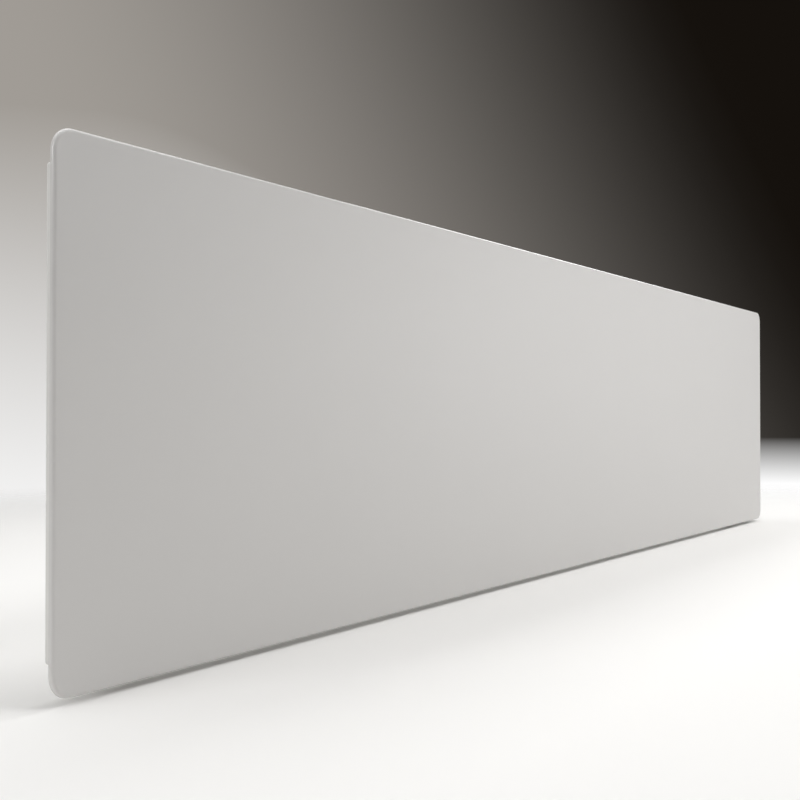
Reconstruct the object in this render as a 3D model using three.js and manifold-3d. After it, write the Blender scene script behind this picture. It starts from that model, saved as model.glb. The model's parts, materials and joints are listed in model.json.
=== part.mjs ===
// Wall-hung infrared panel heater: a satin glass plate with rounded corners, bonded to a shallower
// folded steel housing that holds a foil heating element, its insulation and the mains terminals.
// The panel hangs by two hooks on a folded wall rail and lifts off upwards.
//
// Millimetres. +X to the right seen from the front, +Y towards the wall, +Z up.
// Origin: middle of the wall rail's back face, on the wall.

import * as THREE from 'three';
import { mergeVertices } from 'three/addons/utils/BufferGeometryUtils.js';
import Module from 'manifold-3d';

const wasm = await Module();
wasm.setup();

// ---------------------------------------------------------------- driving dimensions

const SEAT_GAP = 0.3; // between two pieces that touch
const BORE_CLEARANCE = 0.3; // round a fastener in its hole, on the radius
const THROUGH = 1; // how far a cut runs past the face that it leaves, or a joined form into the next

// front plate
const PANEL_WIDTH = 1800;
const PANEL_HEIGHT = 400;
const GLASS_THICKNESS = 4;
const GLASS_CORNER_RADIUS = 18;
const GLASS_EDGE_RADIUS = 2.6; // of the ground front edge

// bond line between the plate and the housing's flange
const BOND_THICKNESS = 1.4;
const BOND_WIDTH = 9;
const BOND_SETBACK = 2; // from the housing's outline

// folded steel housing
const HOUSING_INSET = 20; // from the plate's edge, all round
const HOUSING_DEPTH = 24;
const HOUSING_SHEET = 1;
const HOUSING_CORNER_RADIUS = 2;
const HOUSING_BEND_RADIUS = 1.5;
const FLANGE_WIDTH = 14;
const FLANGE_SLIT = 0.8; // open mitre in each corner of the flange
const BEAD_FROM_SIDE = 100; // of the ends of the stiffening beads pressed into the back
const BEAD_WIDTH = 13;
const BEAD_DEPTH = 2;
const BEAD_SPACING = 86;
const BEAD_ROUNDING = 1.4;

// heating laminate
const LAMINATE_MARGIN = 2; // inside the flange's opening
const FILM_THICKNESS = 0.6;
const FOIL_THICKNESS = 0.4;
const REFLECTOR_THICKNESS = 0.4;
const FOIL_MARGIN = 10;
const FOIL_STRIP = 13;
const FOIL_SPACING = 6; // bare film between two runs
const FOIL_TURN_STEPS = 6;

// insulation
const INSULATION_CLEARANCE = 1;

// wall rail, a folded J
const WALL_GAP = 18; // from the housing's back to the wall
const RAIL_FROM_TOP = 68; // of the rail's middle below the housing's top
const RAIL_LENGTH = 1200;
const RAIL_SHEET = 2;
const RAIL_WEB_HEIGHT = 50;
const RAIL_BEND_RADIUS = 2.5; // at the middle of the sheet
const RAIL_REACH = 15; // from the wall to the front of the lip
const LIP_HEIGHT = 18; // from under the shelf to the lip's edge
const SLOT_WIDTH = 7;
const SLOT_LENGTH = 22;
const SLOT_COUNT = 4;
const SLOT_FROM_END = 60; // of the outer slots' middles, from the rail's ends

// hooks on the panel's back
const HOOK_FROM_RAIL_END = 150; // of a hook's middle
const HOOK_WIDTH = 100;
const HOOK_SHEET = 1.5;
const HOOK_BEND_RADIUS = 2;
const HOOK_DROP = 11; // of the hook's free leg behind the lip
const HOOK_BEHIND_LIP = 1; // clearance
const HOOK_LEG = 62; // the riveted leg
const HOOK_RIVET_SPAN = 76;
const HOOK_RIVET_PITCH = 16;
const HOOK_RIVET_FROM_END = 8;
const BACKING_SHEET = 1.5;
const BACKING_MARGIN = 4;

// blind rivets
const RIVET_RADIUS = 2;
const RIVET_HEAD_RADIUS = 3.9;
const RIVET_HEAD_HEIGHT = 1.2;
const RIVET_TAIL_RADIUS = 2.9;
const RIVET_TAIL_HEIGHT = 2;

// lower wall spacers
const SPACER_FROM_SIDE = 240; // of a spacer's middle, from the housing's side wall
const SPACER_UP = 34; // of a spacer's middle above the housing's lower wall
const SPACER_RADIUS = 14;
const SPACER_STUD_RADIUS = 4;
const SPACER_BARB = 0.9;
const SPACER_BARB_LENGTH = 3;
const PAD_RADIUS = 10;
const PAD_THICKNESS = 3;
const PAD_RECESS = 1.5;

// terminal bay in the lower right corner
const BAY_FROM_SIDE = 100; // of the bay's middle, from the housing's side wall
const BAY_WIDTH = 172;
const BAY_HEIGHT = 98;
const COVER_WIDTH = 150;
const COVER_HEIGHT = 88;
const COVER_UP = 52; // of the cover's middle
const COVER_SHEET = 1;
const COVER_CORNER_RADIUS = 5;
const COVER_LAP = 10; // of the cover round its opening
const COVER_SCREW_INSET = 5.5;
const SCREW_RADIUS = 1.5;
const SCREW_HEAD_RADIUS = 3;
const SCREW_HEAD_HEIGHT = 1.7;
const SCREW_LENGTH = 6;

// cable gland
const GLAND_OFFSET = -42; // from the bay's middle
const GLAND_THREAD_RADIUS = 8;
const GLAND_BORE_RADIUS = 4.6;
const GLAND_FLATS = 18;
const GLAND_FLANGE_HEIGHT = 5;
const GLAND_THREAD_LENGTH = 8;
const GLAND_SPIGOT_RADIUS = 6.4;
const GLAND_SPIGOT_LENGTH = 3.5;
const LOCKNUT_HEIGHT = 4;
const CAP_HEIGHT = 11.5;
const CAP_NOSE_RADIUS = 6.2;
const CAP_WALL = 1.4;
const SEAL_BORE_RADIUS = 3.7;
const SEAL_HEIGHT = 3.5;

// mains rocker switch
const SWITCH_OFFSET = 42;
const BEZEL_LENGTH = 21.5;
const BEZEL_WIDTH = 15;
const BEZEL_HEIGHT = 2;
const BEZEL_CORNER_RADIUS = 1.2;
const SWITCH_LENGTH = 19;
const SWITCH_WIDTH = 13;
const SWITCH_DEPTH = 13;
const SWITCH_WALL = 0.8;
const SWITCH_FLOOR = 3;
const ROCKER_LENGTH = 15.8;
const ROCKER_TILT = 8; // degrees each side of level
const ROCKER_RISE = 5; // of the rocker's ends over the pivot
const ROCKER_DIP = 1.7; // of the middle below its ends
const ROCKER_SIDE_CLEARANCE = 0.35;
const PIVOT_DEPTH = 2.5; // below the bezel's face
const TAB_SPACING = 10;
const TAB_WIDTH = 4.8;
const TAB_SHEET = 0.8;
const TAB_LENGTH = 8;

// terminal block on its bracket
const BLOCK_POLES = 3;
const POLE_PITCH = 13;
const BLOCK_END_WALL = 1.5; // beyond half a pitch at each end
const BLOCK_HEIGHT = 20;
const BLOCK_DEPTH = 13;
const BLOCK_UP = 42; // of the block's lower side
const BLOCK_STEP = 4; // of the low shoulders beside the screws
const BLOCK_SHOULDER = 4.5;
const POLE_SCREW_RADIUS = 1.9;
const POLE_SCREW_WELL = 7;
const POLE_SCREW_WALL = 0.5; // between a well and the shoulder
const POLE_ENTRY_RADIUS = 1.9;
const POLE_ENTRY_DEPTH = 6;
const POLE_ENTRY_LEVEL = 3.6; // of the wire holes over the block's base
const BRACKET_SHEET = 1;
const BRACKET_INSET = 2; // from each end of the block
const BRACKET_FOOT = 12;
const BRACKET_BEND_RADIUS = 1.5;
const BRACKET_STANDOFF = 1.6; // from the reflector to the bracket

// earth stud
const EARTH_OFFSET = -68;
const EARTH_STUD_RADIUS = 2;
const EARTH_STUD_LENGTH = 12;
const EARTH_NUT_FLATS = 7;
const EARTH_NUT_HEIGHT = 3.2;
const EARTH_WASHER_RADIUS = 4.5;
const EARTH_WASHER_HEIGHT = 0.8;
const EARTH_LUG_RADIUS = 4.2;
const EARTH_LUG_SHEET = 0.8;
const EARTH_LUG_REACH = 6.5; // from the stud to the upright barrel
const EARTH_BARREL_RADIUS = 1.9;
const EARTH_BARREL_HEIGHT = 8;

// thermal cut-outs on the reflector
const CUTOUT_OFFSETS = [-132, -196];
const CUTOUT_UP = 50;
const CUTOUT_RADIUS = 8.5;
const CUTOUT_HEIGHT = 8;
const CUTOUT_CAP_HEIGHT = 3;
const CUTOUT_CAP_RADIUS = 7.6;
const CUTOUT_CHAMFER = 1;
const CUTOUT_TAB_SETBACK = 2; // of the tabs, from the base
const CUTOUT_TAB_ROOT = 1; // of a tab inside the base
const CUTOUT_POCKET_WIDTH = 170;
const CUTOUT_POCKET_HEIGHT = 66;
const CUTOUT_TAB_LENGTH = 7;

// internal leads
const LEAD_RADIUS = 1.2;
const LEAD_SIDES = 6;
const LEAD_STEP = 8;
const LEAD_TAKE_OFF = 4; // straight out of a terminal
const LEAD_BEND = 12; // room for a bend
const LEAD_LOW_RUN = 24; // height of the run along the lower wall
const LEAD_UNDER_BLOCK = 8; // of the run under the terminal block
const LEAD_FRONT_RUN = 5; // of the low run, in front of mid depth
const EYELET_RADIUS = 2.2;
const EYELET_LENGTH = 2.2;

const ROUND_STEPS = 20; // sides of a small round piece
const HOLE_STEPS = 12;
const FASTENER_STEPS = 12;
const EDGE_STEPS = 2; // in a rounded edge
const FOLD_STEPS = 5; // in a folded bend

// ---------------------------------------------------------------- derived places

// Depth runs back from the plate's front face; heights run from the middle of the panel.
const HOUSING_FRONT = GLASS_THICKNESS + SEAT_GAP + BOND_THICKNESS + SEAT_GAP;
const PANEL_DEPTH = HOUSING_FRONT + HOUSING_DEPTH;
const HOUSING_WIDTH = PANEL_WIDTH - 2 * HOUSING_INSET;
const HOUSING_HEIGHT = PANEL_HEIGHT - 2 * HOUSING_INSET;
const HOUSING_INNER_BACK = PANEL_DEPTH - HOUSING_SHEET;
const FLANGE_BACK = HOUSING_FRONT + HOUSING_SHEET;
const OPENING_WIDTH = HOUSING_WIDTH - 2 * FLANGE_WIDTH;
const OPENING_HEIGHT = HOUSING_HEIGHT - 2 * FLANGE_WIDTH;
const LAMINATE_WIDTH = OPENING_WIDTH - 2 * LAMINATE_MARGIN;
const LAMINATE_HEIGHT = OPENING_HEIGHT - 2 * LAMINATE_MARGIN;
const FRONT_FILM_AT = GLASS_THICKNESS + SEAT_GAP;
const FOIL_AT = FRONT_FILM_AT + FILM_THICKNESS + SEAT_GAP;
const BACK_FILM_AT = FOIL_AT + FOIL_THICKNESS + SEAT_GAP;
const REFLECTOR_AT = BACK_FILM_AT + FILM_THICKNESS + SEAT_GAP;
const REFLECTOR_BACK = REFLECTOR_AT + REFLECTOR_THICKNESS;
const INSULATION_AT = Math.max(REFLECTOR_BACK, FLANGE_BACK) + SEAT_GAP;
const INSULATION_BACK = HOUSING_INNER_BACK - BEAD_DEPTH - SEAT_GAP;
const LOWER_WALL = -HOUSING_HEIGHT / 2;
const MID_DEPTH = HOUSING_FRONT + HOUSING_DEPTH / 2;
const BAY_X = HOUSING_WIDTH / 2 - BAY_FROM_SIDE;
const RAIL_RISE = HOUSING_HEIGHT / 2 - RAIL_FROM_TOP; // above the middle of the panel
const RAIL_LIP_TOP = RAIL_WEB_HEIGHT / 2 - RAIL_SHEET + LIP_HEIGHT;
const BEAD_LENGTH = HOUSING_WIDTH - 2 * BEAD_FROM_SIDE;
const eitherSide = (distance) => [-distance, distance];
const HOOK_PLACES = eitherSide(RAIL_LENGTH / 2 - HOOK_FROM_RAIL_END);
const SPACER_PLACES = eitherSide(HOUSING_WIDTH / 2 - SPACER_FROM_SIDE);

// ---------------------------------------------------------------- materials

const finish = (color, roughness, metalness = 0) =>
  new THREE.MeshStandardMaterial({ color, roughness, metalness });

const satinGlass = finish(0xdcdcda, 0.45);
const whiteSteel = finish(0xe6e6e4, 0.5, 0.1);
const zincSteel = finish(0xb9bdc2, 0.4, 0.9);
const stainless = finish(0xc9cbcd, 0.3, 0.9);
const aluminium = finish(0xd4d6d8, 0.25, 0.9);
const brass = finish(0xc8a45a, 0.3, 0.9);
const amberFilm = finish(0xb9772a, 0.4);
const greyFoil = finish(0x8b8f93, 0.35, 0.8);
const silicone = finish(0xd9d9d6, 0.7);
const rubber = finish(0x2b2c2e, 0.8);
const mineralWool = finish(0xc9bf9a, 0.95);
const whiteNylon = finish(0xe9e9e6, 0.5);
const blackNylon = finish(0x202123, 0.5);
const brownLead = finish(0x6b3f22, 0.6);
const blueLead = finish(0x2f62a8, 0.6);
const earthLead = finish(0x6f9a2c, 0.6);

// ---------------------------------------------------------------- solids

const X = new THREE.Vector3(1, 0, 0);
const Y = new THREE.Vector3(0, 1, 0);
const Z = new THREE.Vector3(0, 0, 1);

function solid(geometry) {
  const bare = geometry.index ? geometry.toNonIndexed() : geometry.clone();
  bare.deleteAttribute('normal');
  bare.deleteAttribute('uv');
  const merged = mergeVertices(bare, 1e-4);
  return new wasm.Manifold(new wasm.Mesh({
    numProp: 3,
    vertProperties: merged.attributes.position.array,
    triVerts: new Uint32Array(merged.index.array),
  }));
}

function geometryOf(manifold) {
  const mesh = manifold.getMesh();
  const geometry = new THREE.BufferGeometry();
  geometry.setAttribute('position', new THREE.BufferAttribute(mesh.vertProperties, 3));
  geometry.setIndex(new THREE.BufferAttribute(mesh.triVerts, 1));
  geometry.computeVertexNormals();
  return geometry;
}

const cut = (geometry, ...tools) =>
  geometryOf(tools.reduce((left, tool) => left.subtract(solid(tool)), solid(geometry)));

const join = (geometry, ...others) =>
  geometryOf(others.reduce((left, other) => left.add(solid(other)), solid(geometry)));

// A rectangle with round corners, about a point.
function roundedRectangle(width, height, radius, x = 0, y = 0) {
  const [left, right] = [x - width / 2, x + width / 2];
  const [low, high] = [y - height / 2, y + height / 2];
  const shape = new THREE.Shape();
  shape.moveTo(left + radius, low);
  shape.lineTo(right - radius, low);
  shape.absarc(right - radius, low + radius, radius, -Math.PI / 2, 0);
  shape.lineTo(right, high - radius);
  shape.absarc(right - radius, high - radius, radius, 0, Math.PI / 2);
  shape.lineTo(left + radius, high);
  shape.absarc(left + radius, high - radius, radius, Math.PI / 2, Math.PI);
  shape.lineTo(left, low + radius);
  shape.absarc(left + radius, low + radius, radius, Math.PI, Math.PI * 1.5);
  return shape;
}

// A strip of even width along a path of straight runs and bends, as sheet is folded or foil is cut.
// Each move is [length, turn in degrees, radius of the turn at the middle of the strip].
function strip(x, y, headingDegrees, width, moves, bendSteps) {
  let heading = THREE.MathUtils.degToRad(headingDegrees);
  const left = [];
  const right = [];
  const mark = () => {
    const across = new THREE.Vector2(-Math.sin(heading), Math.cos(heading)).multiplyScalar(width / 2);
    left.push(new THREE.Vector2(x, y).add(across));
    right.push(new THREE.Vector2(x, y).sub(across));
  };
  mark();
  for (const [length, turnDegrees = 0, radius = 0] of moves) {
    x += length * Math.cos(heading);
    y += length * Math.sin(heading);
    mark();
    const turn = THREE.MathUtils.degToRad(turnDegrees);
    const side = Math.sign(turn) * radius;
    const centre = [x - side * Math.sin(heading), y + side * Math.cos(heading)];
    const start = heading;
    for (let step = 1; turn && step <= bendSteps; step++) {
      heading = start + (turn * step) / bendSteps;
      x = centre[0] + side * Math.sin(heading);
      y = centre[1] - side * Math.cos(heading);
      mark();
    }
  }
  return new THREE.Shape([...left, ...right.reverse()]);
}

// An outline in X and Z, as thick as given, from one depth backwards.
// With a rounding, the edges of both faces are rounded inside the outline.
function plate(shape, from, thickness, rounding = 0, curveSegments = 3, edgeSteps = EDGE_STEPS) {
  const geometry = new THREE.ExtrudeGeometry(shape, {
    depth: thickness - 2 * rounding,
    bevelEnabled: rounding > 0,
    bevelThickness: rounding,
    bevelSize: rounding,
    bevelOffset: -rounding,
    bevelSegments: edgeSteps,
    curveSegments,
  });
  geometry.translate(0, 0, rounding - thickness);
  geometry.applyMatrix4(new THREE.Matrix4().makeBasis(X, Z, Y.clone().negate()));
  return geometry.translate(0, from, 0);
}

// A profile in Y and Z, as long as given, centred on X.
function bar(shape, length) {
  const geometry = new THREE.ExtrudeGeometry(shape, { depth: length, bevelEnabled: false });
  geometry.translate(0, 0, -length / 2);
  return geometry.applyMatrix4(new THREE.Matrix4().makeBasis(Y, Z, X));
}

// A turned piece about Z from [radius, height] pairs that go upwards, from the axis to the axis
// or, where the piece is hollow, closed on themselves.
function turned(points, steps = ROUND_STEPS) {
  const profile = points.map(([radius, height]) => new THREE.Vector2(radius, height));
  return new THREE.LatheGeometry(profile, steps).rotateX(Math.PI / 2);
}

// The same about Y, pointing backwards.
function turnedBack(points, steps = ROUND_STEPS) {
  const profile = points.map(([radius, height]) => new THREE.Vector2(radius, height));
  return new THREE.LatheGeometry(profile, steps);
}

const rod = (radius, from, to, steps) =>
  turned([[0, from], [radius, from], [radius, to], [0, to]], steps);
const rodBack = (radius, from, to, steps) =>
  turnedBack([[0, from], [radius, from], [radius, to], [0, to]], steps);

// A drill for a hole with a fastener in it: its flats, not its corners, stand at the radius.
const drillRadius = (radius) => (radius + BORE_CLEARANCE) / Math.cos(Math.PI / HOLE_STEPS);
const drill = (radius, from, to) => rod(drillRadius(radius), from, to, HOLE_STEPS);
const drillBack = (radius, from, to) => rodBack(drillRadius(radius), from, to, HOLE_STEPS);

// A hexagon about Z with two of its flats facing front and back.
function hexagon(flats, from, to) {
  const radius = flats / 2 / Math.cos(Math.PI / 6);
  const shape = new THREE.Shape(
    [0, 1, 2, 3, 4, 5].map((side) => new THREE.Vector2(
      radius * Math.cos((side * Math.PI) / 3),
      radius * Math.sin((side * Math.PI) / 3),
    )),
  );
  return new THREE.ExtrudeGeometry(shape, { depth: to - from, bevelEnabled: false }).translate(0, 0, from);
}

function block(width, depth, height, x, y, z) {
  return new THREE.BoxGeometry(width, depth, height).translate(x, y, z);
}

// A round lead along a smooth route.
function lead(points) {
  const route = new THREE.CatmullRomCurve3(points.map((p) => new THREE.Vector3(...p)), false, 'centripetal');
  const section = new THREE.Shape();
  for (let side = 0; side < LEAD_SIDES; side++) {
    const angle = (2 * Math.PI * side) / LEAD_SIDES;
    const corner = [LEAD_RADIUS * Math.cos(angle), LEAD_RADIUS * Math.sin(angle)];
    if (side) section.lineTo(...corner);
    else section.moveTo(...corner);
  }
  const steps = Math.round(route.getLength() / LEAD_STEP);
  return new THREE.ExtrudeGeometry(section, { steps, extrudePath: route });
}

// ---------------------------------------------------------------- assembly

const part = new THREE.Group();
const wall = new THREE.Group(); // what stays on the wall
const panel = new THREE.Group(); // what hangs: origin at the middle of the plate's front face
const bay = new THREE.Group(); // terminal bay: origin on the housing's lower wall, at mid depth
panel.position.set(0, -(WALL_GAP + PANEL_DEPTH), -RAIL_RISE);
bay.position.set(BAY_X, MID_DEPTH, LOWER_WALL);
panel.add(bay);
part.add(wall, panel);

function piece(parent, name, geometry, material, place = [0, 0, 0]) {
  const mesh = new THREE.Mesh(geometry, material);
  mesh.name = name;
  mesh.position.set(...place);
  parent.add(mesh);
  return mesh;
}

// Heights of the hook's rivets in the panel's frame, worked out once for every piece they pass.
const hookTop = RAIL_LIP_TOP + RAIL_RISE + SEAT_GAP + HOOK_SHEET;
const hookLegEnd = hookTop - HOOK_LEG;
const rivetHeights = [hookLegEnd + HOOK_RIVET_FROM_END, hookLegEnd + HOOK_RIVET_FROM_END + HOOK_RIVET_PITCH];
const rivetOffsets = eitherSide(HOOK_RIVET_SPAN / 2);
const hookRivets = HOOK_PLACES.flatMap((x) =>
  rivetOffsets.flatMap((dx) => rivetHeights.map((z) => [x + dx, 0, z])));

const spacerHeight = LOWER_WALL + SPACER_UP;
const coverMiddle = LOWER_WALL + COVER_UP;
const coverOutline = (width, height) =>
  roundedRectangle(width, height, COVER_CORNER_RADIUS, BAY_X, coverMiddle);
const coverScrews = [-1, 1].flatMap((sideX) => [-1, 1].map((sideZ) => [
  BAY_X + sideX * (COVER_WIDTH / 2 - COVER_SCREW_INSET),
  coverMiddle + sideZ * (COVER_HEIGHT / 2 - COVER_SCREW_INSET),
]));

// ---- front plate

// Ground round in front and cut square behind.
function frontPlate() {
  const outline = roundedRectangle(PANEL_WIDTH, PANEL_HEIGHT, GLASS_CORNER_RADIUS);
  const backOff = block(
    PANEL_WIDTH + 2 * THROUGH, 2 * GLASS_THICKNESS, PANEL_HEIGHT + 2 * THROUGH,
    0, 2 * GLASS_THICKNESS, 0,
  );
  return cut(plate(outline, 0, 2 * GLASS_THICKNESS, GLASS_EDGE_RADIUS, 8, 3), backOff);
}

piece(panel, 'front_plate', frontPlate(), satinGlass);

// ---- bond line: a closed frame of adhesive on the flange

const bondWidth = HOUSING_WIDTH - 2 * BOND_SETBACK;
const bondHeight = HOUSING_HEIGHT - 2 * BOND_SETBACK;
const bondOutline = roundedRectangle(bondWidth, bondHeight, HOUSING_CORNER_RADIUS);
bondOutline.holes.push(
  roundedRectangle(bondWidth - 2 * BOND_WIDTH, bondHeight - 2 * BOND_WIDTH, HOUSING_CORNER_RADIUS),
);
piece(panel, 'bond_frame', plate(bondOutline, FRONT_FILM_AT, BOND_THICKNESS), silicone);

// ---- heating laminate: film, meandering foil, film, reflector

const runPitch = FOIL_STRIP + FOIL_SPACING;
const foilHeight = LAMINATE_HEIGHT - 2 * FOIL_MARGIN;
const foilRuns = 2 * Math.floor((foilHeight + FOIL_SPACING) / (2 * runPitch));
const returnX = LAMINATE_WIDTH / 2 - FOIL_MARGIN - FOIL_STRIP / 2; // the strip that comes back down
const nearTurnX = returnX - runPitch - runPitch / 2;
const farTurnX = -LAMINATE_WIDTH / 2 + FOIL_MARGIN + FOIL_STRIP / 2 + runPitch / 2;
const lowRunZ = (-(foilRuns - 1) * runPitch) / 2;
const eyeletHeights = [lowRunZ, lowRunZ + runPitch];

function foilMeander() {
  const tail = returnX - nearTurnX;
  const run = nearTurnX - farTurnX;
  const moves = [];
  for (let index = 0; index < foilRuns; index++) {
    const leftwards = index % 2 === 0;
    const last = index === foilRuns - 1;
    const length = run + (index === 0 ? tail + FOIL_STRIP / 2 : 0) + (last ? tail - runPitch / 2 : 0);
    moves.push([length, leftwards || last ? -180 : 180, runPitch / 2]);
  }
  moves[moves.length - 1][1] = -90;
  moves.push([(foilRuns - 2) * runPitch - runPitch / 2 + FOIL_STRIP / 2]);
  return strip(returnX + FOIL_STRIP / 2, lowRunZ, 180, FOIL_STRIP, moves, FOIL_TURN_STEPS);
}

const laminate = roundedRectangle(LAMINATE_WIDTH, LAMINATE_HEIGHT, HOUSING_CORNER_RADIUS);
const eyeletHoles = eyeletHeights.map((z) =>
  drillBack(EYELET_RADIUS, 0, HOUSING_DEPTH).translate(returnX, 0, z));
const backFilm = cut(plate(laminate, BACK_FILM_AT, FILM_THICKNESS), ...eyeletHoles);
const reflector = cut(plate(laminate, REFLECTOR_AT, REFLECTOR_THICKNESS), ...eyeletHoles);
piece(panel, 'heater_film_front', plate(laminate, FRONT_FILM_AT, FILM_THICKNESS), amberFilm);
piece(panel, 'heating_foil', plate(foilMeander(), FOIL_AT, FOIL_THICKNESS), greyFoil);
piece(panel, 'heater_film_back', backFilm, amberFilm);
piece(panel, 'reflector_sheet', reflector, aluminium);
const eyeletFrom = FOIL_AT + FOIL_THICKNESS + SEAT_GAP;
const eyeletTo = REFLECTOR_BACK + EYELET_LENGTH;
eyeletHeights.forEach((z, index) => {
  const eyelet = rodBack(EYELET_RADIUS, eyeletFrom, eyeletTo, ROUND_STEPS);
  piece(panel, `foil_terminal_${index + 1}`, eyelet, brass, [returnX, 0, z]);
});

// ---- rear housing: a tray folded from one sheet, its flange turned in under the plate

function pressing(extra, from) {
  const width = BEAD_WIDTH + 2 * extra;
  const outline = roundedRectangle(BEAD_LENGTH + 2 * extra, width, width / 2);
  return eitherSide(BEAD_SPACING / 2).map((z) =>
    plate(outline, from, HOUSING_DEPTH, BEAD_ROUNDING).translate(0, 0, z));
}

function rearHousing() {
  const outer = plate(
    roundedRectangle(HOUSING_WIDTH, HOUSING_HEIGHT, HOUSING_CORNER_RADIUS),
    HOUSING_FRONT, HOUSING_DEPTH, HOUSING_BEND_RADIUS,
  );
  const inside = plate(
    roundedRectangle(
      HOUSING_WIDTH - 2 * HOUSING_SHEET,
      HOUSING_HEIGHT - 2 * HOUSING_SHEET,
      HOUSING_CORNER_RADIUS - HOUSING_SHEET,
    ),
    FLANGE_BACK, HOUSING_DEPTH - 2 * HOUSING_SHEET, HOUSING_BEND_RADIUS - HOUSING_SHEET,
  );
  const ridges = pressing(HOUSING_SHEET, HOUSING_INNER_BACK - BEAD_DEPTH);
  const grooves = pressing(0, PANEL_DEPTH - BEAD_DEPTH);
  const opening = plate(
    roundedRectangle(OPENING_WIDTH, OPENING_HEIGHT, HOUSING_CORNER_RADIUS),
    0, FLANGE_BACK + SEAT_GAP,
  );
  const slitLength = FLANGE_WIDTH * 1.2; // short of the corner, and out through the opening
  const slits = [-1, 1].flatMap((sideX) => [-1, 1].map((sideZ) => block(
    slitLength, 2 * FLANGE_BACK, FLANGE_SLIT, 0, 0, 0,
  ).rotateY((-sideX * sideZ * Math.PI) / 4).translate(
    sideX * (OPENING_WIDTH / 2 + FLANGE_WIDTH / 4),
    0,
    sideZ * (OPENING_HEIGHT / 2 + FLANGE_WIDTH / 4),
  )));
  const backHole = (radius, x, z) =>
    drillBack(radius, INSULATION_BACK, PANEL_DEPTH + WALL_GAP).translate(x, 0, z);
  const rivetHoles = hookRivets.map(([x, , z]) => backHole(RIVET_RADIUS, x, z));
  const spacerHoles = SPACER_PLACES.map((x) => backHole(SPACER_STUD_RADIUS, x, spacerHeight));
  const screwHoles = coverScrews.map(([x, z]) => backHole(SCREW_RADIUS, x, z));
  const coverOpening = plate(
    coverOutline(COVER_WIDTH - 2 * COVER_LAP, COVER_HEIGHT - 2 * COVER_LAP), INSULATION_BACK, HOUSING_DEPTH,
  );
  const throughLowerWall = 3 * HOUSING_SHEET;
  const glandHole = drill(GLAND_THREAD_RADIUS, -throughLowerWall, throughLowerWall)
    .translate(BAY_X + GLAND_OFFSET, MID_DEPTH, LOWER_WALL);
  const switchHole = block(
    SWITCH_LENGTH + 2 * BORE_CLEARANCE, SWITCH_WIDTH + 2 * BORE_CLEARANCE, 2 * throughLowerWall,
    BAY_X + SWITCH_OFFSET, MID_DEPTH, LOWER_WALL,
  );
  const bracketHole = drill(RIVET_RADIUS, -throughLowerWall, throughLowerWall)
    .translate(BAY_X, bracketRivetDepth, LOWER_WALL);
  const hollow = cut(inside, ...ridges);
  return cut(
    outer, hollow, opening, ...grooves, ...slits, ...rivetHoles, ...spacerHoles, ...screwHoles,
    coverOpening, glandHole, switchHole, bracketHole,
  );
}

const bracketLegFront = REFLECTOR_BACK + BRACKET_STANDOFF;
const bracketRivetDepth = bracketLegFront + BRACKET_SHEET + BRACKET_FOOT / 2;
piece(panel, 'rear_housing', rearHousing(), whiteSteel);

// ---- insulation board, with pockets for the bay, the cut-outs, the backing plates and the spacers

const backingWidth = HOOK_RIVET_SPAN + 2 * RIVET_HEAD_RADIUS + 2 * BACKING_MARGIN;
const backingHeight = HOOK_RIVET_PITCH + 2 * RIVET_HEAD_RADIUS + 2 * BACKING_MARGIN;
const backingMiddle = (rivetHeights[0] + rivetHeights[1]) / 2;
const backingFront = HOUSING_INNER_BACK - SEAT_GAP - BACKING_SHEET;
const rivetTailFront = backingFront - SEAT_GAP - RIVET_TAIL_HEIGHT;
const spacerStudFront = HOUSING_INNER_BACK - SEAT_GAP - SPACER_BARB_LENGTH;

function insulationBoard() {
  const margin = HOUSING_SHEET + INSULATION_CLEARANCE;
  const board = plate(
    roundedRectangle(HOUSING_WIDTH - 2 * margin, HOUSING_HEIGHT - 2 * margin, HOUSING_CORNER_RADIUS),
    INSULATION_AT, INSULATION_BACK - INSULATION_AT,
  );
  const bayPocket = block(
    BAY_WIDTH, HOUSING_DEPTH * 2, BAY_HEIGHT * 2,
    BAY_X, MID_DEPTH, LOWER_WALL,
  );
  const cutoutMiddle = (CUTOUT_OFFSETS[0] + CUTOUT_OFFSETS[1]) / 2;
  const cutoutPocket = block(
    CUTOUT_POCKET_WIDTH, HOUSING_DEPTH * 2, CUTOUT_POCKET_HEIGHT,
    BAY_X + cutoutMiddle, MID_DEPTH, LOWER_WALL + CUTOUT_UP,
  );
  const pocketDepth = INSULATION_BACK - rivetTailFront + 2 * SEAT_GAP;
  const backingPockets = HOOK_PLACES.map((x) => block(
    backingWidth + 2 * SEAT_GAP, 2 * pocketDepth, backingHeight + 2 * SEAT_GAP,
    x, INSULATION_BACK, backingMiddle,
  ));
  const spacerPockets = SPACER_PLACES.map((x) => drillBack(
    SPACER_STUD_RADIUS + SPACER_BARB,
    spacerStudFront - SEAT_GAP, PANEL_DEPTH,
  ).translate(x, 0, spacerHeight));
  return cut(board, bayPocket, cutoutPocket, ...backingPockets, ...spacerPockets);
}

piece(panel, 'insulation_board', insulationBoard(), mineralWool);

// ---- hooks, riveted through the housing to backing plates

const hookFront = PANEL_DEPTH + SEAT_GAP;
const lipFront = PANEL_DEPTH + WALL_GAP - RAIL_REACH;
const hookSpan = lipFront + RAIL_SHEET + HOOK_BEHIND_LIP - hookFront; // from front face to front face
const hookRiser = HOOK_LEG - HOOK_SHEET / 2 - HOOK_BEND_RADIUS;

function rivetDrills() {
  return rivetOffsets.flatMap((dx) => rivetHeights.map((z) => drillBack(
    RIVET_RADIUS, INSULATION_AT, lipFront,
  ).translate(dx, 0, z)));
}

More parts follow.
